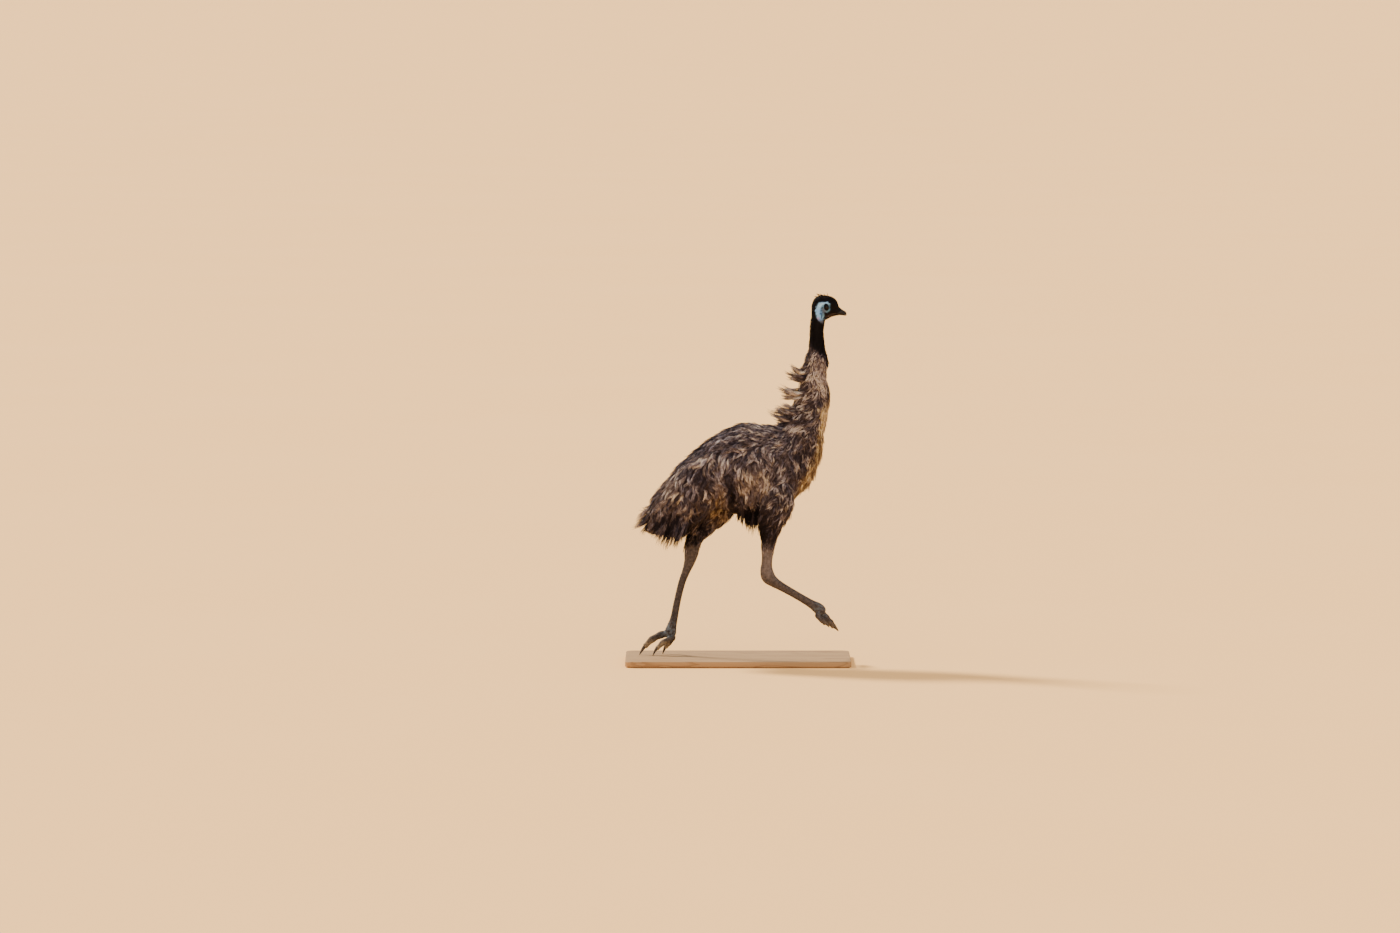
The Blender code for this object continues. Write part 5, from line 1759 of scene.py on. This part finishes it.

# %% [markdown]
# ## Skin
#
# Skin is laid on as paint is: a colour, then the next over it wherever its mask is bright. The face
# is pale blue with clouds of other blues and painted shade behind and below the eye, and the horn of
# the legs is grey with paler and dusty places, a painted bluish highlight on the feet and painted
# shade on the far leg. The masks are numbers stored on the mesh, so each can be moved by itself.


# %% Skin finish
def bare_face(finish, blotch, speckle):
    """The bare skin of face and cheek: pale blue, clouded, dark round the eye, with painted shade behind and
    below the eye and low on the cheek.
    """
    pale = finish.mix(finish.between(0.35, 0.68, blotch), (0.060, 0.150, 0.250), (0.130, 0.270, 0.420))
    for share, colour in (
        (finish.value("milk") * finish.between(0.10, 0.55, blotch), (0.340, 0.630, 1.000)),
        (0.70 * finish.value("sky"), (0.150, 0.380, 0.900)),
        (0.9 * finish.value("pink"), (0.330, 0.260, 0.480)),
        (0.90 * finish.value("blue"), (0.012, 0.030, 0.080)),
        (0.40 * finish.between(0.55, 0.75, speckle), (0.05, 0.075, 0.10)),
        # painted shade behind and below the eye, and low on the cheek
        (finish.value("dusk"), (0.066, 0.080, 0.120)),
        (finish.value("lid"), (0.0015, 0.002, 0.004)),
    ):
        pale = finish.mix(share, pale, colour)
    return pale


def leg_horn(finish, blotch, seams):
    """The horn of the legs: grey, with dust on the toes, dark seams between the scales and a painted bluish
    highlight on the feet.
    """
    grey = finish.mix(finish.between(0.30, 0.70, blotch), (0.024, 0.019, 0.018), (0.075, 0.058, 0.052))
    fine, soft, coarse = finish.noise(70.0, 5.0, 0.65), finish.noise(70.0, 2.0), finish.noise(60.0, 5.0)
    for share, colour in (
        (finish.value("shank") * finish.between(0.15, 0.80, fine), (0.200, 0.168, 0.168)),
        # painted highlight: a bluish sheen on the feet
        (0.7 * finish.value("slate") * finish.between(0.40, 0.62, soft), (0.115, 0.140, 0.165)),
        (finish.value("dust") * finish.between(0.25, 0.75, coarse), (0.56, 0.40, 0.22)),
        (0.55 * (1 - seams), (0.012, 0.010, 0.010)),
    ):
        grey = finish.mix(share, grey, colour)
    return grey


def hide():
    """The skin: dark under the plumes, scaled on the legs, bare and pale behind the eye."""
    finish = Finish("skin", Roughness=0.6, Specular_IOR_Level=0.08)
    legs = finish.value("legs")
    under = plume_colour(finish, finish.value("tone") * 0.35, finish.value("warmth"))
    speckle, blotch = finish.noise(260.0, 4.0), finish.noise(85.0, 3.0)
    cells = finish.node("ShaderNodeTexVoronoi", {"feature": "DISTANCE_TO_EDGE"},
                        {"Vector": finish.place(), "Scale": 240.0})
    seams = finish.between(0.0, 0.10, cells)
    face = finish.mix(finish.value("bare"), under, bare_face(finish, blotch, speckle))
    face = finish.mix(finish.value("gape"), face, (0.055, 0.042, 0.038))
    colour = finish.mix(legs, face, leg_horn(finish, blotch, seams))
    height = seams * legs + 0.6 * speckle * (1 - legs)
    return finish.set(Base_Color=colour, Roughness=0.50 + 0.18 * speckle,
                      Normal=finish.bump(height, 0.55, 0.0006))


skin_finish = hide()
print("nodes in the skin's finish:", len(skin_finish.node_tree.nodes))

# %% [markdown]
# ## Masks of the skin
#
# Each mask is 1 where its colour shows and falls softly to 0. Strokes and dabs place them as before:
# a pink dab below the ear, a dark blue stroke down the cheek with painted shade in the ear's opening,
# dark lids, painted shade behind and below the eye and low on the cheek, a painted bluish highlight
# on the feet, paler mottling held back on the far leg as painted shade, and dust on the lowest toes.

# %% Skin masks
FEET = ((-0.325, 0.062, 0.145), (0.392, -0.036, 0.255))  # where the painted bluish highlight shows: left and right
FEET_REACH = 0.075
LID_SIZE = (0.0186, 0.0128)  # half height and half length of the dark rim


def skin_values(points):
    """The markings that the skin's finish reads, by name."""
    x, y, z = points.T
    side_on = points * [1, 0, 1]
    pale, warm, _ = markings(points)
    blue = along_line(side_on, (0.4015, 0, 1.682), (0.3995, 0, 1.658), 0.0052)
    milk = ease(0.034, 0.046, np.hypot(x - 0.4300, (z - 1.6860) * 0.90)) * ease(1.650, 1.672, z)
    ahead, above = x - EYE_X + 0.0008, z - EYE_Z - 0.0014
    rim = np.hypot((above - 0.2 * ahead) / LID_SIZE[0], (ahead + 0.2 * above) / LID_SIZE[1])
    brow = 0.40 * ease(0.432, 0.440, x) * (1 - ease(1.722, 1.732, z))
    # painted shade: a grey-blue patch behind and below the eye
    dusk = along_line(side_on, (0.4110, 0, 1.6990), (0.4130, 0, 1.6890), 0.0165) ** 0.6
    # paler mottling on the shanks; the far (left) leg gets much less of it, which is painted shade
    shank = (0.35 + 0.65 * ease(0.385, 0.450, z)) * np.where(y < 0, 0.9, 0.36) * ease(0.14, 0.26, z)
    # painted highlight: where the bluish sheen shows round each foot
    feet = np.maximum(near(points, FEET[0], FEET_REACH), near(points, FEET[1], FEET_REACH))
    toes = (1 - ease(0.060, 0.125, z)) * (1 - ease(-0.335, -0.300, x))
    return {
        "tone": pale, "warmth": warm, "bare": bareness(points),
        "legs": 1 - ease(0.565, 0.600, z + 0.010 * ripple(points, 0.04, 6)),
        # the dab on the ear is painted shade in its opening; the stroke down the cheek is dark blue skin
        "blue": np.maximum(blue, 0.9 * near(side_on, (EAR[0], 0, EAR[2]), 0.0065)),
        "sky": along_line(side_on, (0.384, 0, 1.690), (0.394, 0, 1.650), 0.030),
        "pink": near(side_on, (0.384, 0, 1.656), 0.013),
        "milk": np.maximum(milk, 0.8 * ease(1.722, 1.732, z)),
        "lid": np.maximum(1 - ease(0.86, 1.12, rim), brow),
        # painted shade behind and below the eye, and darker low on the cheek
        "dusk": np.maximum(0.9 * dusk, 1 - ease(1.640, 1.662, z)),
        "gape": along_line(side_on, (0.440, 0, 1.6770), (0.484, 0, 1.6800), 0.0026),
        "shank": shank, "slate": ease(0.0, 0.7, feet),
        "dust": np.maximum(0.9 * toes, 0.35 * (1 - ease(0.17, 0.22, z)) * (x > 0)),
    }


for name, values in skin_values(coordinates(skin_mesh)).items():
    write_values(skin_mesh, name, values)
print("masks on the skin:", len(skin_mesh.attributes))

# %% [markdown]
# ## Horn, eye and wood
#
# Horn has fine lines along its length and is worn paler in patches; where it faces up, as on its
# ridge, it is painted paler as top light. The eye's rings come from the distance to the pupil: black,
# then an iris of very dark brown with fine spokes. A clear coat makes it wet. The panel is pale
# maple: long soft grain, so the noise is squeezed along one axis.

# %% Horn
def horn(name, dark, pale, ridge):
    """Dark horn, paler where it is worn and, as painted top light, where it faces up."""
    finish = Finish(name, Roughness=0.42, Specular_IOR_Level=0.22)
    lines = finish.noise(1.0, 4.0, 0.6, finish.stretched((120.0, 900.0, 420.0)))
    worn = finish.noise(130.0, 3.0)
    facing = finish.node("ShaderNodeNewGeometry", out="Normal")
    upward = finish.node("ShaderNodeSeparateXYZ", {}, {0: facing}, out="Z")
    # worn patches, plus painted top light: faces turned up are paler by the amount ridge
    share = finish.between(0.30, 0.75, worn + ridge * upward)
    colour = finish.mix(share * (0.5 + 0.5 * lines), dark, pale)
    return finish.set(Base_Color=colour, Roughness=0.34 + 0.22 * lines,
                      Normal=finish.bump(lines, 0.25, 0.0004))


def wet_eye():
    """Pupil, iris and rim under a clear coat."""
    finish = Finish("eye", Roughness=0.30, Specular_IOR_Level=0.05, Coat_Weight=0.22, Coat_Roughness=0.02)
    away = finish.value("from_pupil")
    spokes = finish.noise(900.0, 2.0)
    rings = finish.ramp(away + 0.03 * (spokes - 0.5), (
        (0.0, (0.002, 0.002, 0.002)), (0.27, (0.002, 0.002, 0.002)), (0.30, (0.012, 0.006, 0.004)),
        (0.40, (0.008, 0.004, 0.003)), (0.48, (0.005, 0.003, 0.003)), (0.53, (0.003, 0.003, 0.003)),
        (0.80, (0.02, 0.016, 0.016))))
    return finish.set(Base_Color=rings)


def maple():
    """Pale wood with a satin finish."""
    finish = Finish("maple", Roughness=0.5, Specular_IOR_Level=0.08)
    wander = finish.stretched((1.3, 9.0, 9.0))
    figure = finish.noise(1.0, 3.0, 0.5, wander)
    grain = finish.noise(1.0, 5.0, 0.65, finish.stretched((9.0, 190.0, 190.0)))
    rings = finish.node("ShaderNodeMath", {"operation": "FRACT"}, {0: figure * 7.0})
    late = finish.between(0.78, 0.97, rings)
    colour = finish.mix(figure, (0.330, 0.190, 0.085), (0.430, 0.270, 0.135))
    colour = finish.mix(0.45 * late, colour, (0.170, 0.085, 0.036))
    colour = finish.mix(0.40 * finish.between(0.55, 0.80, grain), colour, (0.200, 0.108, 0.048))
    return finish.set(Base_Color=colour, Roughness=0.50 + 0.20 * grain,
                      Normal=finish.bump(grain, 0.12, 0.0003))


wet, wood = wet_eye(), maple()
print("finishes made:", [material.name for material in bpy.data.materials])

# %% [markdown]
# ## Putting the bird together
#
# Every piece now becomes an object with its finish, takes the place of its plain solid and rides on
# the frame's one body.

# %% Dressing
BODY = "root"


def dress(name, mesh, material, slot, *stands_for):
    """Adds a piece to the bird in place of solids of the frame."""
    made = add_object(name, mesh, material)
    if stands_for:
        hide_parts(*stands_for)
    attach(made, BODY)
    return made


FLESH = [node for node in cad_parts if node.split("_")[0] in
         ("head", "neck", "trunk", "tail", "wing", "thigh", "shank", "tarsus", "toe")]
dress("skin", skin_mesh, skin_finish, "scutes", *FLESH)
plumes = plumage()
for name, mesh in coat_meshes.items():
    slot = "neck" if name in ("head", "neck") else "ruff" if name.startswith("ruff") else "plumage"
    dress("coat_" + name, mesh, plumes, slot)
bill_horn = horn("bill horn", (0.004, 0.0034, 0.0036), (0.019, 0.0135, 0.0115), 0.22)
dress("bill_top", bill_meshes["bill_top"], bill_horn, "bill", "bill_upper")
dress("bill_bottom", bill_meshes["bill_bottom"], bill_horn, "bill", "bill_lower")
for side in ("right", "left"):
    dress(f"eyeball_{side}", eye_meshes[f"eyeball_{side}"], wet, "eye", f"eye_{side}")
nail_horn = horn("claw horn", (0.020, 0.016, 0.014), (0.150, 0.110, 0.080), 0.10)
for name, mesh in claw_meshes.items():
    toe, side = name.replace("nail_", "").split("_")
    dress(name, mesh, nail_horn, "claw", f"claw_{toe}_{side}")
dress("base_panel", panel_mesh, wood, "stand", "stand_base")

# %% [markdown]
# ## Studio
#
# A pale, plain floor and soft light. The key comes from high on the left, so the shadow falls ahead
# of the bird, and a wide fill keeps the dark plumes readable. Area lamps would need moving with the
# size of the bird; suns only need a direction.

# %% Floor and light
def floor_finish():
    """Matt, pale and warm."""
    finish = Finish("floor", Roughness=0.9, Specular_IOR_Level=0.1)
    return finish.set(Base_Color=finish.mix(finish.noise(0.4, 2.0), (0.97, 0.56, 0.21), (0.98, 0.58, 0.23)))


bpy.ops.mesh.primitive_grid_add(x_subdivisions=8, y_subdivisions=8, size=2400.0)
floor = bpy.context.object
floor.name = "floor"
floor.data.materials.append(floor_finish())


def soft_sun(name, comes_from, power, colour, spread):
    """Even light from one direction. The wider its spread, the softer its shadows."""
    lamp = bpy.data.lights.new(name, "SUN")
    lamp.energy, lamp.color, lamp.angle = power, colour, math.radians(spread)
    made = bpy.data.objects.new(name, lamp)
    made.rotation_euler = Vector(comes_from).to_track_quat("Z", "Y").to_euler()
    bpy.context.scene.collection.objects.link(made)


soft_sun("key", (-0.72, 0.62, 0.85), 6.0, (1.0, 0.94, 0.84), 10)
soft_sun("fill", (0.10, -1.0, 0.60), 1.05, (1.0, 0.96, 0.93), 60)

world = bpy.data.worlds.new("studio")
bpy.context.scene.world = world
world.use_nodes = True
sky = next(node for node in world.node_tree.nodes if node.type == "BACKGROUND")
sky.inputs["Color"].default_value = (1.0, 0.92, 0.82, 1.0)
sky.inputs["Strength"].default_value = 0.95
print("lights:", [lamp.name for lamp in bpy.data.lights])

# %% [markdown]
# ## Camera
#
# The camera looks square at the bird's right side, from a little above. A long lens from far away
# keeps the proportions true, where a near one would swell whatever is closest.

# %% Camera
AIM = Vector((-0.182, 0.0, 0.944))
ELEVATION = math.radians(4)
DISTANCE = 35.0
VIEW_WIDTH = 6.72  # metres across the frame at the bird

camera = bpy.data.cameras.new("camera")
camera.sensor_width = 36.0
camera.lens = camera.sensor_width * DISTANCE / VIEW_WIDTH
camera.clip_end = 2000.0
eye_point = bpy.data.objects.new("camera", camera)
eye_point.location = AIM + DISTANCE * Vector((0, -math.cos(ELEVATION), math.sin(ELEVATION)))
eye_point.rotation_euler = (AIM - eye_point.location).to_track_quat("-Z", "Y").to_euler()
bpy.context.scene.collection.objects.link(eye_point)
bpy.context.scene.camera = eye_point
print("lens, in millimetres:", round(camera.lens, 1))

# %% [markdown]
# The plumes must stay near the solids that they dress.
